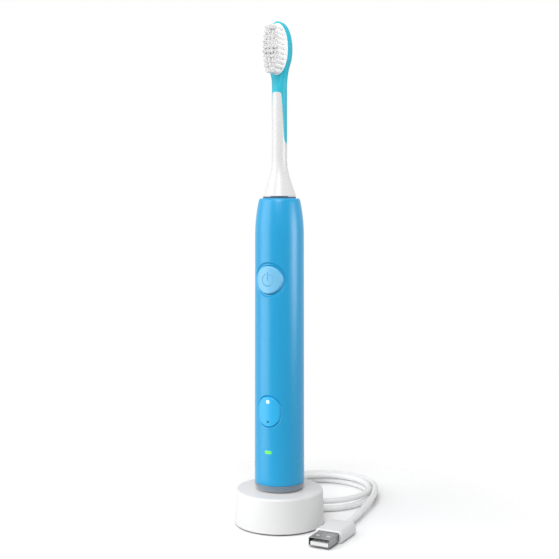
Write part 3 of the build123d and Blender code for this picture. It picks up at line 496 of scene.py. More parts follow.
def nylon_bristle():
    """White nylon filament, with painted shade greying it towards the cut tips, and varied from strand to
    strand.
    """
    finish = Finish("nylon_bristle")
    # Painted shade: the filaments turn grey towards their cut tips
    tip = finish.axis("Y").step(*TIP_PAINTED_SHADE)
    strand = finish.noise(1500.0, 1.0, (1.0, 0.05, 1.0))
    shade = finish.mix(tip * 0.8 + strand * 0.2, rgb(254, 254, 254), rgb(229, 229, 229))
    inputs = {
        "Base Color": shade,
        "Roughness": 0.38 + 0.12 * strand,
    }
    return finish.shade(inputs)


def wound_copper():
    """Enamelled copper wire, wound in turns about the upright axis, with painted shade in the grooves
    between turns and painted highlight on their crowns.
    """
    finish = Finish("winding_copper")
    turn = finish.axis("Z") * (2 * math.pi / WINDING_PITCH)
    ridge_and_shade = turn.math("SINE", turn) * 0.5 + 0.5
    cloud = finish.noise(700.0)
    # Painted shade and highlight: darker between the turns, lighter on their crowns
    shade = finish.mix(ridge_and_shade * 0.7 + cloud * 0.3, rgb(120, 58, 26), rgb(214, 132, 74))
    inputs = {
        "Base Color": shade,
        "Roughness": 0.3 + 0.15 * cloud,
        "Metallic": 0.9,
        "Normal": finish.bump(ridge_and_shade, 0.6, 0.1 * MM),
    }
    return finish.shade(inputs)


def circuit_green():
    """Solder mask over copper tracks, which show as paler lines."""
    finish = Finish("circuit_green")
    tracks = finish.noise(420.0, 0.0, (1.0, 1.0, 0.4)).step(0.47, 0.53)
    cloud = finish.noise(900.0)
    shade = finish.mix(tracks * 0.7 + cloud * 0.2, rgb(10, 70, 40), rgb(34, 120, 66))
    inputs = {
        "Base Color": shade,
        "Roughness": 0.32 + 0.1 * cloud,
        "Normal": finish.bump(tracks, 0.4, 0.05 * MM),
    }
    return finish.shade(inputs)


FINISHES = {
    "handle_blue": moulded_plastic("handle_blue", rgb(*HANDLE_COLOUR), 0.31),
    "button_pale": pale_button(),
    "button_blue": moulded_plastic("button_blue", rgb(30, 172, 228), 0.36),
    "light_mark": moulded_plastic("light_mark", rgb(222, 248, 253), 0.4),
    "dark_mark": moulded_plastic("dark_mark", rgb(28, 84, 130), 0.45),
    "lamp_green": lit_lamp(),
    "cap_grey": frosted_cap(),
    "seal_rubber": soft_rubber("seal_rubber", rgb(64, 92, 116), 0.55),
    "neck_white": moulded_plastic("neck_white", rgb(216, 216, 216), 0.27, 0.001),
    "overmould_teal": soft_rubber("overmould_teal", rgb(32, 180, 203), 0.45),
    "bristle_nylon": nylon_bristle(),
    "puck_white": puck_plastic(),
    "cord_white": soft_rubber("cord_white", rgb(240, 240, 240), 0.42, CORD_GLOW),
    "plug_white": moulded_plastic("plug_white", rgb(224, 224, 224), 0.38),
    "plug_steel": brushed_metal("plug_steel", rgb(148, 149, 151), 0.26, (1.0, 0.12, 1.0)),
    "contact_gold": brushed_metal("contact_gold", rgb(206, 200, 186), 0.25, (1.0, 0.2, 1.0)),
    "shaft_steel": brushed_metal("shaft_steel", rgb(190, 192, 196), 0.24, (1.0, 1.0, 0.1)),
    "foot_rubber": soft_rubber("foot_rubber", rgb(120, 122, 126), 0.7),
    "board_green": circuit_green(),
    "winding_copper": wound_copper(),
    "ferrite_black": soft_rubber("ferrite_black", rgb(40, 40, 43), 0.5),
    "inner_plastic": moulded_plastic("inner_plastic", rgb(206, 208, 206), 0.5),
    "switch_black": moulded_plastic("switch_black", rgb(34, 35, 38), 0.5),
    "cell_wrap": moulded_plastic("cell_wrap", rgb(64, 70, 84), 0.3),
    "stator_steel": brushed_metal("stator_steel", rgb(120, 122, 126), 0.45, (0.05, 0.05, 3.0)),
}

# Every node of the frame takes the finish of its material slot.
for subpart in frame["record"]["subparts"]:
    node_mesh = nodes[subpart["node"]].data
    node_mesh.materials.clear()
    node_mesh.materials.append(FINISHES[subpart["material_slot"]])


# Mesh helpers


def piece(name, points, faces, slot, body, replaced=(), smooth=True):
    """A new piece in millimetres that takes its slot's finish and rides on its body."""
    mesh = bpy.data.meshes.new(name)
    mesh.from_pydata([Vector(point) * MM for point in points], [], faces)
    shape = bmesh.new()
    shape.from_mesh(mesh)
    bmesh.ops.remove_doubles(shape, verts=shape.verts, dist=1e-7)
    bmesh.ops.dissolve_degenerate(shape, edges=shape.edges, dist=1e-7)
    bmesh.ops.recalc_face_normals(shape, faces=shape.faces)
    for face in shape.faces:
        face.smooth = smooth
    shape.to_mesh(mesh)
    shape.free()
    made = bpy.data.objects.new(name, mesh)
    bpy.context.scene.collection.objects.link(made)
    mesh.materials.append(FINISHES[slot])
    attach(made, body)
    if replaced:
        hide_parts(*replaced)
    return made


def grid_faces(rows, columns, wrap):
    """Faces of a grid of points, row by row, closed round its columns where wrap is true."""
    faces = []
    for row in range(rows - 1):
        for column in range(columns if wrap else columns - 1):
            beside = (column + 1) % columns
            faces.append((
                row * columns + column,
                row * columns + beside,
                (row + 1) * columns + beside,
                (row + 1) * columns + column,
            ))
    return faces


def rounded_profile(corners, steps=10):
    """A profile of (radius, height) corners, with an arc wherever a corner gives a round."""
    profile = []
    for index, corner in enumerate(corners):
        here = Vector(corner[:2])
        round_size = corner[2] if len(corner) > 2 else 0
        if not round_size:
            profile.append(tuple(here))
            continue
        before = (Vector(corners[index - 1][:2]) - here).normalized()
        after = (Vector(corners[(index + 1) % len(corners)][:2]) - here).normalized()
        half = before.angle(after) / 2
        reach = round_size / math.tan(half)
        centre = here + (before + after).normalized() * (round_size / math.sin(half))
        start = here + before * reach - centre
        turn = start.angle_signed(here + after * reach - centre)
        for step in range(steps + 1):
            angle = turn * step / steps
            profile.append(tuple(centre + Matrix.Rotation(-angle, 2) @ start))
    return profile


def circle(count):
    """Angles of even steps round a circle."""
    return [2 * math.pi * step / count for step in range(count)]


def around(radius, turn, height):
    """A point at a turn from the front, about the upright axis."""
    return (radius * math.sin(turn), -radius * math.cos(turn), height)


def lathe(name, profile, segments, slot, body, replaced):
    """A turned piece from a profile of (radius, height), about the upright axis."""
    points = []
    for radius, height in profile:
        for angle in circle(segments):
            points.append(around(radius, angle, height))
    return piece(name, points, grid_faces(len(profile), segments, True), slot, body, replaced)


def smoothstep(low, high, value):
    """0 below low and 1 above high, with a soft rise between."""
    share = min(max((value - low) / (high - low), 0.0), 1.0)
    return share * share * (3 - 2 * share)


def spaced(marks):
    """Values between marks of (value, spacing), each stretch in even steps of its spacing."""
    values = []
    for (low, spacing), (high, _) in zip(marks, marks[1:]):
        count = max(round((high - low) / spacing), 1)
        values.extend(low + (high - low) * step / count for step in range(count))
    values.append(marks[-1][0])
    return values


# Camera at the photograph's place
camera_data = bpy.data.cameras.new("camera")
camera_data.sensor_width = SENSOR_WIDTH
camera_data.lens = SENSOR_WIDTH * FOCAL_PIXELS / IMAGE_SIZE
camera_data.clip_start = 0.01
camera = bpy.data.objects.new("camera", camera_data)
bpy.context.scene.collection.objects.link(camera)
bpy.context.scene.camera = camera
azimuth = math.radians(CAMERA_AZIMUTH)
camera.location = around(CAMERA_DISTANCE, azimuth, CAMERA_HEIGHT)
camera.rotation_euler = (math.radians(90 - CAMERA_PITCH), 0, azimuth)


# Cord: one line from the gland, round the coil's two layers and on to the plug


def coil_spot(turn, widening):
    """A control point of the coil after turn degrees, as (x, y, z)."""
    reversal = (CLIMB_START + CLIMB_END) / 2
    radius = COIL_FIRST_RADIUS - COIL_TURN_STEP * min(turn, reversal) / 360
    radius += COIL_TURN_STEP * max(turn - reversal, 0) / 360
    if abs(turn - NEAR_TURN) < 90:
        radius += NEAR_BULGE * math.cos(math.radians(turn - NEAR_TURN)) ** 2
    climb = min(max((turn - CLIMB_START) / (CLIMB_END - CLIMB_START), 0), 1)
    height = CORD_DIAMETER / 2 + COIL_LAYER_STEP * (1 - math.cos(math.pi * climb)) / 2
    angle = math.radians(COIL_START_ANGLE - turn)
    return Vector((
        COIL_CENTRE[0] + radius * widening * math.cos(angle),
        COIL_CENTRE[1] + radius * widening * math.sin(angle),
        height,
    ))


def cord_route():
    """Control points of the cord, with the coil's drawn out to keep the line on its circle."""
    out = Vector((math.cos(math.radians(EXIT_ANGLE)), math.sin(math.radians(EXIT_ANGLE)), 0))
    tip = Vector((0, 0, EXIT_HEIGHT)) + out * GLAND_TIP
    coil_in = (coil_spot(0.5, 1) - coil_spot(-0.5, 1)).normalized()
    coil_out = (coil_spot(COIL_SWEEP + 0.5, 1) - coil_spot(COIL_SWEEP - 0.5, 1)).normalized()
    coil_first = coil_spot(0, 1) - coil_in * CORD_DIAMETER
    coil_last = coil_spot(COIL_SWEEP, 1) + coil_out * CORD_DIAMETER
    route = [tip + out * way for way in LEAD_WAYS]
    route += [coil_first - coil_in * COIL_ENTRY, coil_first]
    widening = 1 / math.cos(math.radians(COIL_POINT_TURN / 2))
    turns = round(COIL_SWEEP / COIL_POINT_TURN)
    for index in range(1, turns):
        route.append(coil_spot(COIL_SWEEP * index / turns, widening))
    route += [coil_last, coil_last + coil_out * COIL_LEAVE, Vector(TAIL_BEND)]
    route += [Vector((PLUG_X, PLUG_REAR_Y + way, PLUG_HEIGHT)) for way in TAIL_WAYS]
    return route


def make_cord():
    """The cord as one round line along its route."""
    line = bpy.data.curves.new("charging_cord", "CURVE")
    line.dimensions = "3D"
    line.bevel_depth = CORD_DIAMETER / 2 * MM
    line.bevel_resolution = 6
    line.resolution_u = 6
    spline = line.splines.new("NURBS")
    route = cord_route()
    spline.points.add(len(route) - 1)
    for point, spot in zip(spline.points, route):
        point.co = (*(spot * MM), 1.0)
    spline.order_u = 3
    spline.use_endpoint_u = True
    line.materials.append(FINISHES["cord_white"])
    cord = bpy.data.objects.new("charging_cord", line)
    bpy.context.scene.collection.objects.link(cord)
    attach(cord, "charger")
    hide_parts("cord_lead", "cord_coil", "cord_tail")
    return cord


cord = make_cord()


# Handle: a tapered tube with a shoulder, button recesses and wells


def handle_radius(height):
    """Outer radius of the handle at a height."""
    if height <= SHOULDER_Z:
        share = (height - SHELL_Z) / (SHOULDER_Z - SHELL_Z)
        return SHELL_BOTTOM_RADIUS + (SHELL_SHOULDER_RADIUS - SHELL_BOTTOM_RADIUS) * share
    rise = TOP_Z - SHOULDER_Z
    drop = SHELL_SHOULDER_RADIUS - SHELL_TOP_RADIUS
    arc = (rise**2 + drop**2) / (2 * drop)
    return SHELL_SHOULDER_RADIUS - arc + math.sqrt(arc**2 - (height - SHOULDER_Z) ** 2)


def pill_distance(across, up, width, length):
    """Distance from a pill's edge, less than 0 inside it, with its long side upright."""
    straight = max(abs(up) - (length - width) / 2, 0.0)
    return math.hypot(across, straight) - width / 2


def ramp(way, width):
    """0 up to the start of a slope, 1 past its width, and straight between."""
    return min(max(way / width, 0.0), 1.0)


def front_sink(across, height):
    """How far the handle's front sinks at a spot, for the button recesses and wells."""
    power = math.hypot(across, height - POWER_Z) - POWER_RADIUS
    power_margin = POWER_RECESS_RADIUS - POWER_RADIUS
    mode = pill_distance(across, height - MODE_Z, MODE_WIDTH, MODE_LENGTH)
    sink = POWER_RECESS_DEPTH * ramp(power_margin - power, RECESS_SLOPE * POWER_RECESS_DEPTH)
    sink += WELL_DEPTH * (1 - smoothstep(*POWER_WELL_EDGE, power))
    sink += MODE_RECESS_DEPTH * ramp(MODE_RECESS_MARGIN - mode, RECESS_SLOPE * MODE_RECESS_DEPTH)
    sink += WELL_DEPTH * (1 - smoothstep(*MODE_WELL_EDGE, mode))
    return sink


def make_handle():
    """Skin of the handle, from its lower lip up the tube and over the rim to the shaft's hole."""
    margin = 0.8
    power_band = POWER_RECESS_RADIUS + margin
    mode_band = MODE_LENGTH / 2 + MODE_RECESS_MARGIN + margin
    coarse = 2.5
    fine = 0.13
    heights = spaced([
        (SHELL_Z + LIP_HEIGHT, coarse),
        (MODE_Z - mode_band, fine),
        (MODE_Z + mode_band, coarse),
        (POWER_Z - power_band, fine),
        (POWER_Z + power_band, coarse),
        (SHOULDER_Z, 1.0),
        (TOP_Z - RIM_HEIGHT, 1.0),
    ])
    fine_front = 50.0
    recess_front = 80.0
    angles = spaced([(-180.0, 4.0), (-fine_front, 0.55), (fine_front, 4.0), (180.0, 4.0)])[:-1]
    rings = [(BORE_RADIUS, SHELL_Z + LIP_DEPTH), (BORE_RADIUS, SHELL_Z)]
    rings += [(SHELL_BOTTOM_RADIUS - inward, SHELL_Z + up) for inward, up in LIP_ROUND]
    rings += [(handle_radius(height), height) for height in heights]
    rim_radius = handle_radius(TOP_Z - RIM_HEIGHT)
    rings += [(rim_radius - inward, TOP_Z - down) for inward, down in RIM_ROUND]
    rings += [
        (SEAL_SEAT_RADIUS + 0.08, TOP_Z),
        (SEAL_SEAT_RADIUS, TOP_Z - 0.1),
        (SEAL_SEAT_RADIUS, TOP_Z - SEAL_SEAT_DEPTH),
        (SHAFT_HOLE_RADIUS, TOP_Z - SEAL_SEAT_DEPTH),
        (SHAFT_HOLE_RADIUS, TOP_Z - SHAFT_HOLE_DEPTH),
    ]
    points = []
    for radius, height in rings:
        for angle in angles:
            turn = math.radians(angle)
            sink = front_sink(radius * math.sin(turn), height) if abs(angle) < recess_front else 0
            points.append(around(radius - sink, turn, height))
    faces = grid_faces(len(rings), len(angles), True)
    return piece("handle_skin", points, faces, "handle_blue", "handle", ["handle_shell"])


def button_cap(name, centre, width, length, proud, edge_round, depth, sill, slot, body, replaced):
    """A curved button with a rounded edge and straight walls, whose flange at the sill fills its well."""
    columns = 96
    half_straight = (length - width) / 2

    def outline(inset, share=1.0):
        """Points round the button, moved in by the inset and scaled by the share."""
        ring = []
        for angle in circle(columns):
            across = (width / 2 - inset) * math.sin(angle) * share
            up = (width / 2 - inset) * math.cos(angle) * share
            up += math.copysign(half_straight, math.cos(angle)) * share if half_straight else 0
            ring.append((across, up))
        return ring

    points = []
    rings = 0

    def add_ring(ring, sink):
        """A ring on the curve of the button's face, sunk by some depth."""
        nonlocal rings
        rings += 1
        for across, up in ring:
            radius = handle_radius(centre + up) + proud
            points.append((across, -math.sqrt(radius**2 - across**2) + sink, centre + up))

    add_ring(outline(0), edge_round + depth)
    for reach, below in [(0, 0.3), (FLANGE_REACH, 0.28), (FLANGE_REACH, 0.06), (0.02, 0.04)]:
        add_ring(outline(-reach), sill + below)
    arc_steps = 7
    for step in range(arc_steps + 1):
        turn = math.pi / 2 * step / arc_steps
        inset = edge_round * (1 - math.cos(turn))
        add_ring(outline(inset), edge_round * (1 - math.sin(turn)))
    rows = 14
    for row in range(1, rows + 1):
        share = 1 - row / rows
        add_ring(outline(edge_round, max(share, 1e-3)), 0.0)
    faces = grid_faces(rings, columns, True)
    faces.append(tuple(range((rings - 1) * columns, rings * columns)))
    return piece(name, points, faces, slot, body, replaced)


def inlay(name, centre, width, height, proud, slot, body, replaced):
    """A small lens set in the curved front, lying across where it is wider than high."""
    columns = 48
    across_half = max(width - height, 0) / 2
    radius = min(width, height) / 2
    points = []
    rings = [(1.0, 0.6), (1.0, -0.02), (0.94, -0.05), (0.8, -0.07), (0.5, -0.08), (0.001, -0.085)]
    for share, sink in rings:
        for angle in circle(columns):
            across = radius * share * math.cos(angle) + math.copysign(across_half, math.cos(angle)) * share
            up = radius * share * math.sin(angle)
            skin = handle_radius(centre + up) + proud
            points.append((across, -math.sqrt(skin**2 - across**2) + sink, centre + up))
    faces = grid_faces(len(rings), columns, True)
    faces.append(tuple(range((len(rings) - 1) * columns, len(rings) * columns)))
    return piece(name, points, faces, slot, body, replaced)


make_handle()
button_cap("power_key", POWER_Z, 2 * POWER_RADIUS, 2 * POWER_RADIUS, POWER_PROUD, POWER_EDGE_ROUND,
           POWER_WALL, POWER_PROUD + POWER_RECESS_DEPTH, "button_pale", "power_button", ["power_button"])
button_cap("mode_key", MODE_Z, MODE_WIDTH, MODE_LENGTH, MODE_PROUD, MODE_EDGE_ROUND, MODE_WALL,
           MODE_PROUD + MODE_RECESS_DEPTH, "button_blue", "mode_button", ["mode_button"])
inlay("mode_mark_light", MODE_Z + DOT_SPACING / 2, LIGHT_DOT, LIGHT_DOT, MODE_PROUD, "light_mark",
      "mode_button", ["mode_light_dot"])
inlay("mode_mark_dark", MODE_Z - DOT_SPACING / 2, DARK_DOT, DARK_DOT, MODE_PROUD, "dark_mark",
      "mode_button", ["mode_dark_dot"])
inlay("charge_lens", LAMP_Z, LAMP_WIDTH, LAMP_HEIGHT, 0.0, "lamp_green", "handle", ["charge_light"])

# Bottom cap with its charging socket
lathe("bottom_ring", rounded_profile([
    (0, SOCKET_TOP_Z),
    (SOCKET_RADIUS, SOCKET_TOP_Z, 0.3),
    (SOCKET_RADIUS, SEAT_Z, 0.4),
    (SHELL_BOTTOM_RADIUS, SEAT_Z, CAP_ROUND),
    (SHELL_BOTTOM_RADIUS, SHELL_Z - CAP_GAP, 0.15),
    (SLEEVE_RADIUS, SHELL_Z - CAP_GAP),
    (SLEEVE_RADIUS, SHELL_Z + SLEEVE_HEIGHT, 0.3),
    (SLEEVE_BORE, SHELL_Z + SLEEVE_HEIGHT, 0.3),
    (SLEEVE_BORE, CAP_FLOOR_Z),
    (SOCKET_RADIUS + SOCKET_WALL, CAP_FLOOR_Z),
    (SOCKET_RADIUS + SOCKET_WALL, SOCKET_TOP_Z + SOCKET_WALL, 0.4),
    (0, SOCKET_TOP_Z + SOCKET_WALL),
]), 160, "cap_grey", "handle", ["bottom_cap"])

# Charger puck with its post
lathe("puck_skin", rounded_profile([
    (PUCK_HOLLOW_RADIUS, PUCK_HOLLOW_Z),
    (PUCK_HOLLOW_RADIUS, FOOT_HEIGHT),
    (PUCK_RADIUS, FOOT_HEIGHT, 0.35),
    (PUCK_TOP_RADIUS, SEAT_Z, PUCK_TOP_ROUND),
    (POST_RADIUS, SEAT_Z, 0.3),
    (POST_RADIUS, SEAT_Z + POST_HEIGHT, POST_ROUND),
    (0, SEAT_Z + POST_HEIGHT),
]), 192, "puck_white", "charger", ["charger_shell"])


# Brush head: a turned skirt, a round neck and a flat oval head, in white and turquoise


def blend(start, end, start_slope, end_slope, share):
    """Smooth curve from start to end at a share of the way, with each slope given over the whole way."""
    rest = 1 - share
    return (
        start * (1 + 2 * share) * rest**2
        + start_slope * share * rest**2
        + end * (3 - 2 * share) * share**2
        - end_slope * share**2 * rest
    )


def curve_through(marks, value):
    """Smooth monotone curve through marks of (place, height)."""
    if value <= marks[0][0]:
        return marks[0][1]
    if value >= marks[-1][0]:
        return marks[-1][1]
    slopes = []
    for index in range(len(marks)):
        left = marks[max(index - 1, 0)]
        here = marks[index]
        right = marks[min(index + 1, len(marks) - 1)]
        before = (here[1] - left[1]) / (here[0] - left[0]) if index else 0.0
        after = (right[1] - here[1]) / (right[0] - here[0]) if index < len(marks) - 1 else 0.0
        same_way = before * after > 0
        slopes.append(2 * before * after / (before + after) if same_way else 0.0)
    for index in range(len(marks) - 1):
        low, high = marks[index], marks[index + 1]
        if value <= high[0]:
            span = high[0] - low[0]
            share = (value - low[0]) / span
            return blend(low[1], high[1], slopes[index] * span, slopes[index + 1] * span, share)


def skirt_radius(height):
    """Radius of the skirt and neck at a height."""
    if height <= FLARE_Z:
        return SKIRT_RADIUS + (FLARE_RADIUS - SKIRT_RADIUS) * (height - HEAD_Z) / (FLARE_Z - HEAD_Z)
    if height >= NECK_Z:
        return NECK_RADIUS
    share = (height - FLARE_Z) / (NECK_Z - FLARE_Z)
    slope = (FLARE_RADIUS - SKIRT_RADIUS) / (FLARE_Z - HEAD_Z) * (NECK_Z - FLARE_Z)
    return blend(FLARE_RADIUS, NECK_RADIUS, slope, 0.0, share)


def head_oval(height):
    """Half width of the oval head at a height."""
    share = (height - HEAD_CENTRE_Z) / HEAD_HALF_LENGTH
    return HEAD_HALF_WIDTH * math.sqrt(max(1 - share**2, 0.0))


# Half width, depth and squareness of the head, each by height
HALF_WIDTHS = [(ROUND_END_Z, NECK_RADIUS), (243.9, 4.27), (247.4, 4.65), (250.9, 5.4), (253.9, 6.3)]
HALF_WIDTHS += [(OVAL_START_Z, head_oval(OVAL_START_Z))]
FRONT_DEPTHS = [(ROUND_END_Z, NECK_RADIUS), (242.4, 3.8), (245.4, 3.25), (247.4, 2.92), (249.4, 2.9)]
BACK_DEPTHS = [(ROUND_END_Z, NECK_RADIUS), (247.0, 3.55), (253.4, 3.1), (257.4, 3.0), (267.6, 3.0)]
BACK_DEPTHS += [(271.6, 2.85), (274.7, 2.2), (HEAD_TIP_Z, 0.6)]
FRONT_SQUARE = [(ROUND_END_Z, 2.0), (245.4, 2.3), (251.4, 6.0)]
BACK_SQUARE = [(ROUND_END_Z, 2.0), (249.4, 2.4), (257.4, 3.0)]


def head_spot(turn, height):
    """Point of the brush head's skin at an angle from the front and a height."""
    if height <= ROUND_END_Z:
        return around(skirt_radius(height), turn, height)
    half_width = curve_through(HALF_WIDTHS, height) if height < OVAL_START_Z else head_oval(height)
    front = math.cos(turn) > 0
    depth = curve_through(FRONT_DEPTHS if front else BACK_DEPTHS, height)
    square = curve_through(FRONT_SQUARE if front else BACK_SQUARE, height)
    across = math.copysign(abs(math.sin(turn)) ** (2 / square), math.sin(turn))
    along = math.copysign(abs(math.cos(turn)) ** (2 / square), math.cos(turn))
    return (half_width * across, -depth * along, height)


def edge_depth(height):
    """Depth of the line between white and turquoise at a height, as y."""
    down = PANEL_Z - height
    if height >= TONGUE_Z:
        line = -TONGUE_DEPTH - PANEL_RISE * (height - TONGUE_Z) / (PANEL_Z - TONGUE_Z)
    else:
        low = (TONGUE_Z - height) / (TONGUE_Z - TONGUE_END_Z)
        line = -TONGUE_DEPTH + (NECK_RADIUS + TONGUE_DEPTH) * low**TONGUE_CURVE
    if down < PANEL_CORNER:
        line -= PANEL_CORNER - math.sqrt(PANEL_CORNER**2 - (PANEL_CORNER - down) ** 2)
    return line


def edge_turn(height):
    """Angle from the front of the line between white and turquoise at a height."""
    if height <= TONGUE_END_Z:
        return math.pi
    share = -edge_depth(height) / NECK_RADIUS
    return math.acos(min(max(share, -1.0), 1.0))


# Heights and spacings that neck and overmould share along their seam
SEAM = [(TONGUE_Z + 1.0, 1.0), (PANEL_Z - 2.0, 0.1), (PANEL_Z - 0.3, 0.03)]


def make_neck():
    """White skin of the brush head: the skirt with its hollow, and the front of the neck."""
    turned = [(radius, HEAD_Z + rise) for radius, rise in SKIRT_HOLLOW + SKIRT_EDGE]
    turned += [(skirt_radius(HEAD_Z + SKIRT_EDGE_HEIGHT), HEAD_Z + SKIRT_EDGE_HEIGHT)]
    below = [(HEAD_Z + 2 * SKIRT_EDGE_HEIGHT, 0.6), (TONGUE_END_Z - 0.4, 0.1)]
    heights = spaced(below + SEAM + [(PANEL_Z - 0.06, 0.03)])
    columns = 128
    points = []
    for radius, height in turned:
        for column in range(columns + 1):
            points.append(around(radius, math.pi * (2 * column / columns - 1), height))
    for height in heights:
        limit = edge_turn(height)
        for column in range(columns + 1):
            points.append(head_spot(limit * (2 * column / columns - 1), height))
    faces = grid_faces(len(turned) + len(heights), columns + 1, False)
    return piece("neck_skin", points, faces, "neck_white", "brush_head", ["brush_neck"])


def make_overmould():
    """Turquoise skin of the brush head: the back of the neck and the whole of the oval head."""
    tip_from = 60
    tip_steps = 24
    tip = []
    for step in range(tip_steps + 1):
        angle = tip_from + (90 - tip_from) * step / tip_steps
        tip.append(HEAD_CENTRE_Z + HEAD_HALF_LENGTH * math.sin(math.radians(angle)))
    heights = spaced([(TONGUE_END_Z, 0.1)] + SEAM + [(PANEL_Z, 0.5), (tip[0], 0.5)]) + tip[1:]
    columns = 128
    points = []
    for height in heights:
        limit = edge_turn(height) if height < PANEL_Z else 0.0
        for column in range(columns + 1):
            turn = limit + (2 * math.pi - 2 * limit) * column / columns
            points.append(head_spot(turn, min(height, HEAD_TIP_Z - 1e-4)))
    faces = grid_faces(len(heights), columns + 1, False)
    return piece("overmould_skin", points, faces, "overmould_teal", "brush_head", ["neck_overmould"])


# Bristle plate and tufts


def plate_surface():
    """Points and faces of the oval plate, with a low rim."""
    columns = 96
    floor = PLATE_FRONT - PLATE_RIM
    rings = [(1.0, PLATE_BACK), (1.0, PLATE_FRONT - 0.25), (0.99, PLATE_FRONT - 0.08), (0.972, PLATE_FRONT)]
    rings += [(0.95, PLATE_FRONT), (0.94, floor), (0.5, floor), (0.001, floor)]
    points = []
    for share, depth in rings:
        for angle in circle(columns):
            points.append((
                PLATE_HALF_WIDTH * share * math.cos(angle),
                -depth,
                HEAD_CENTRE_Z + PLATE_HALF_LENGTH * share * math.sin(angle),
            ))
    return points, grid_faces(len(rings), columns, True)


def add_spike(points, faces, spot, stations, sides, flute=0.0):
    """A round bundle along -Y at spot, from stations of (depth, radius), closed at its far end."""
    first = len(points)
    for depth, radius in stations:
        for side, angle in enumerate(circle(sides)):
            reach = radius - flute * (side % 2)
            points.append((spot[0] + reach * math.cos(angle), -depth, spot[1] + reach * math.sin(angle)))
    for face in grid_faces(len(stations), sides, True):
        faces.append(tuple(first + corner for corner in face))
    last = first + (len(stations) - 1) * sides
    faces.append(tuple(range(last, last + sides)))


def make_bristles():
    """The plate and its tufts, each a fluted bundle of filaments with loose tips."""
    chance = random.Random(7)
    points, faces = plate_surface()
    for row, trim in enumerate(ROW_TRIMS):
        offset = (row - (len(ROW_TRIMS) - 1) / 2) * TUFT_ROW_PITCH - FIELD_DROP
        room = (PLATE_HALF_WIDTH - TUFT_MARGIN) * math.sqrt(1 - (offset / PLATE_HALF_LENGTH) ** 2)
        count = int(2 * room / TUFT_PITCH) + 1
        for tuft in range(count):
            across = room * (2 * tuft / (count - 1) - 1)
            up = HEAD_CENTRE_Z + offset
            top = PLATE_FRONT + BRISTLE_LENGTH + trim + chance.uniform(-TUFT_CHANCE, TUFT_CHANCE)
            body = top - TIP_LENGTH
            bundle = [(PLATE_FRONT - 0.2, 0.94), (PLATE_FRONT + 2, 0.98), (body - 0.4, 1.04), (body, 1.0)]
            stations = [(depth, TUFT_RADIUS * share) for depth, share in bundle]
            add_spike(points, faces, (across, up), stations, TUFT_SIDES, TUFT_FLUTE)
            for tip in range(TIPS):
                way = tip * GOLDEN_ANGLE
                out = (TIP_SPREAD - TIP_RADIUS) * math.sqrt((tip + 0.5) / TIPS)
                spot_across = across + out * math.cos(way) + chance.gauss(0, TIP_JITTER)
                spot_up = up + out * math.sin(way) + chance.gauss(0, TIP_JITTER)
                end = top + chance.uniform(-TIP_CHANCE, TIP_CHANCE)
                stations = [(body - 0.3, TIP_RADIUS), (end - 0.1, TIP_RADIUS), (end, TIP_RADIUS * 0.5)]
                add_spike(points, faces, (spot_across, spot_up), stations, TIP_SIDES)
    return piece("bristle_tufts", points, faces, "bristle_nylon", "brush_head", ["bristle_field"])


make_neck()
make_overmould()
make_bristles()


# Plug: a rounded grip and a folded steel shell with latch windows


def rounded_rectangle(width, height, corner, steps=6):
    """Points round a rectangle with rounded corners, as (across, up)."""
    outline = []
    for quarter, (side, level) in enumerate([(1, 1), (-1, 1), (-1, -1), (1, -1)]):
        for step in range(steps + 1):
            angle = math.pi / 2 * (quarter + step / steps)
            outline.append((
                side * (width / 2 - corner) + corner * math.cos(angle),
                level * (height / 2 - corner) + corner * math.sin(angle),
            ))
    return outline


def plug_sections(sections):
    """Points and faces of a piece on the plug's axis, from (way from the rear, width, height, corner)."""
    points = []
    for way, width, height, corner in sections:
        for across, up in rounded_rectangle(width, height, corner):
            points.append((PLUG_X + across, PLUG_REAR_Y - way, PLUG_HEIGHT + up))
    columns = len(points) // len(sections)
    return points, grid_faces(len(sections), columns, True), columns


def grip_section(way, inset):
    """A section of the grip, drawn in by the inset where the grip's ends are rounded."""
    return (way, GRIP_WIDTH - 2 * inset, GRIP_HEIGHT - 2 * inset, GRIP_CORNER - inset * 0.6)


def make_grip():
    """The plug's moulded grip, rounded at both ends, with a mouth for the steel shell."""
    turns = [math.radians(degrees) for degrees in range(0, 91, 10)]
    sections = []
    for turn in turns:
        way = GRIP_REAR_ROUND * (1 - math.cos(turn))
        sections.append(grip_section(way, GRIP_REAR_ROUND * (1 - math.sin(turn))))
    for turn in reversed(turns):
        way = GRIP_LENGTH - GRIP_FRONT_ROUND * (1 - math.cos(turn))
        sections.append(grip_section(way, GRIP_FRONT_ROUND * (1 - math.sin(turn))))
    for way in (GRIP_LENGTH, GRIP_LENGTH - USB_ROOT):
        sections.append((way, USB_WIDTH + MOUTH_GAP, USB_HEIGHT + MOUTH_GAP, USB_CORNER))
    points, faces, columns = plug_sections(sections)
    faces.append(tuple(range(columns)))
    return piece("plug_grip", points, faces, "plug_white", "charger", ["usb_grip"])


def add_block(points, faces, side, width, length, low, high):
    """A block at a latch window on one side of the plug, between two levels from the plug's middle."""
    first = len(points)
    for level in (low, high):
        for across, along in [(-1, -1), (1, -1), (1, 1), (-1, 1)]:
            points.append((
                PLUG_X + side * WINDOW_SPACING / 2 + across * width / 2,
                PLUG_REAR_Y - GRIP_LENGTH - WINDOW_WAY + along * length / 2,
                PLUG_HEIGHT + level,
            ))
    for face in [(0, 1, 2, 3), (4, 5, 6, 7), (0, 1, 5, 4), (1, 2, 6, 5), (2, 3, 7, 6), (3, 0, 4, 7)]:
        faces.append(tuple(first + corner for corner in face))


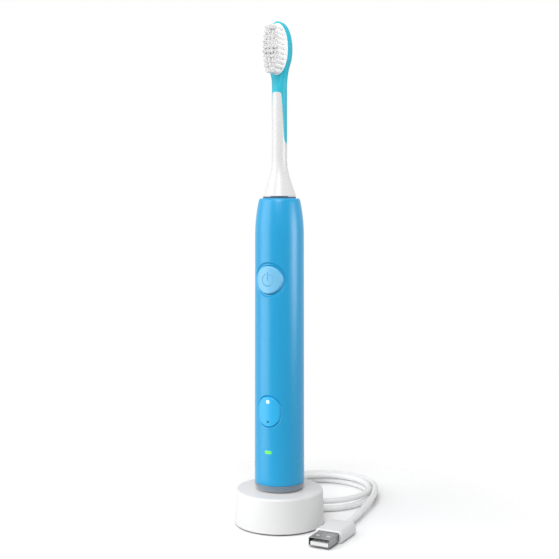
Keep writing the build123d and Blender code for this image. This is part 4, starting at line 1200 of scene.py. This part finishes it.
def make_window_ribs():
    """White ribs of the plug's core, which show through the latch windows."""
    points = []
    faces = []
    roof = USB_HEIGHT / 2 - USB_WALL
    for side in (-1, 1):
        add_block(points, faces, side, WINDOW_WIDTH - RIB_GAP, WINDOW_LENGTH - RIB_GAP,
                  roof - RIB_DEPTH, roof + RIB_RISE)
    return piece("window_ribs", points, faces, "plug_white", "charger", smooth=False)


def make_steel():
    """The folded steel shell of the plug, with two latch windows cut through top and bottom."""
    start = GRIP_LENGTH - USB_ROOT
    end = GRIP_LENGTH + USB_LENGTH
    inner = (USB_WIDTH - 2 * USB_WALL, USB_HEIGHT - 2 * USB_WALL, USB_CORNER - USB_WALL)
    points, faces, _ = plug_sections([
        (start, *inner),
        (start, USB_WIDTH, USB_HEIGHT, USB_CORNER),
        (end - USB_LIP, USB_WIDTH, USB_HEIGHT, USB_CORNER),
        (end, USB_WIDTH - 2 * USB_LIP, USB_HEIGHT - 2 * USB_LIP, USB_CORNER - USB_LIP),
        (end, *inner),
        (start, *inner),
    ])
    steel = piece("plug_steel", points, faces, "plug_steel", "charger", ["usb_shell"], smooth=False)
    cutter_points = []
    cutter_faces = []
    for side in (-1, 1):
        add_block(cutter_points, cutter_faces, side, WINDOW_WIDTH, WINDOW_LENGTH, -USB_HEIGHT, USB_HEIGHT)
    cutter = piece("window_cutter", cutter_points, cutter_faces, "plug_steel", "charger", smooth=False)
    cut = steel.modifiers.new("windows", "BOOLEAN")
    cut.operation = "DIFFERENCE"
    cut.solver = "EXACT"
    cut.object = cutter
    bpy.context.view_layer.objects.active = steel
    bpy.context.view_layer.update()
    shown = bpy.data.meshes.new_from_object(steel.evaluated_get(bpy.context.evaluated_depsgraph_get()))
    steel.modifiers.clear()
    steel.data = shown
    bpy.data.objects.remove(cutter)
    return steel


make_grip()
make_steel()
make_window_ribs()


# Studio: a white floor that keeps soft shadows, a white world and soft lamps


def make_floor():
    """A white floor, dark in narrow gaps under things, that fades into the world away from the brush."""
    finish = Finish("studio_floor")
    paper = finish.node("ShaderNodeBsdfDiffuse", None, {"Color": FLOOR_COLOUR})
    glow = finish.node("ShaderNodeEmission", None, {"Color": WHITE, "Strength": FLOOR_GLOW})
    lit = finish.node("ShaderNodeAddShader", None, {0: paper, 1: glow})
    open_share = finish.node("ShaderNodeAmbientOcclusion", None, {"Distance": SHADE_REACH}, "AO")
    share = open_share.step(*SHADE_EDGE) * finish.looked_at()
    near = finish.node("ShaderNodeMixShader", None, {0: share, 1: paper, 2: lit})
    clear = finish.node("ShaderNodeBsdfTransparent")
    way = finish.node("ShaderNodeVectorMath", {"operation": "LENGTH"}, {0: finish.place()}, "Value")
    faded = finish.node("ShaderNodeMixShader", None, {0: way.step(*FLOOR_FADE), 1: near, 2: clear})
    finish.node("ShaderNodeOutputMaterial", None, {"Surface": faded})
    mesh = bpy.data.meshes.new("studio_floor")
    corners = [(x * FLOOR_REACH, y * FLOOR_REACH, 0) for x, y in [(-1, -1), (1, -1), (1, 1), (-1, 1)]]
    mesh.from_pydata(corners, [], [(0, 1, 2, 3)])
    mesh.materials.append(finish.holder)
    floor = bpy.data.objects.new("studio_floor", mesh)
    bpy.context.scene.collection.objects.link(floor)


def make_world():
    """White to the eye, in mirrors and through glass, and a softer white as light."""
    world = bpy.data.worlds.new("studio")
    bpy.context.scene.world = world
    finish = Finish("studio", world)
    level = finish.looked_at().upper(WORLD_LIGHT)
    sky = finish.node("ShaderNodeBackground", None, {"Color": WHITE, "Strength": level})
    finish.node("ShaderNodeOutputWorld", None, {"Surface": sky})


def soft_lamp(name, azimuth_degrees, elevation, distance, size, power, target_z=LIT_HEIGHT, spread=180):
    """A soft oblong lamp that faces the brush; azimuth 0 is in front of it."""
    data = bpy.data.lights.new(name, "AREA")
    data.shape = "RECTANGLE"
    data.size, data.size_y = size
    data.energy = power
    data.spread = math.radians(spread)
    lamp = bpy.data.objects.new(name, data)
    bpy.context.scene.collection.objects.link(lamp)
    rise = math.radians(elevation)
    way = Vector(around(math.cos(rise), math.radians(azimuth_degrees), math.sin(rise)))
    lamp.location = Vector((0, 0, target_z)) + way * distance
    lamp.rotation_euler = (-way).to_track_quat("-Z", "Y").to_euler()


make_floor()
make_world()
soft_lamp("left_box", -46, 10, 0.8, (0.72, 0.9), 5.7)
soft_lamp("front_lamp", 20, 42, 1.0, (0.5, 0.5), 4.8)
soft_lamp("top_lamp", 0, 80, 1.0, (0.8, 0.8), 3.0)
soft_lamp("right_box", 100, 0, 0.5, (0.4, 0.3), 0.185, target_z=0.22, spread=44)
bpy.context.scene.view_settings.view_transform = "Standard"

bpy.context.view_layer.update()
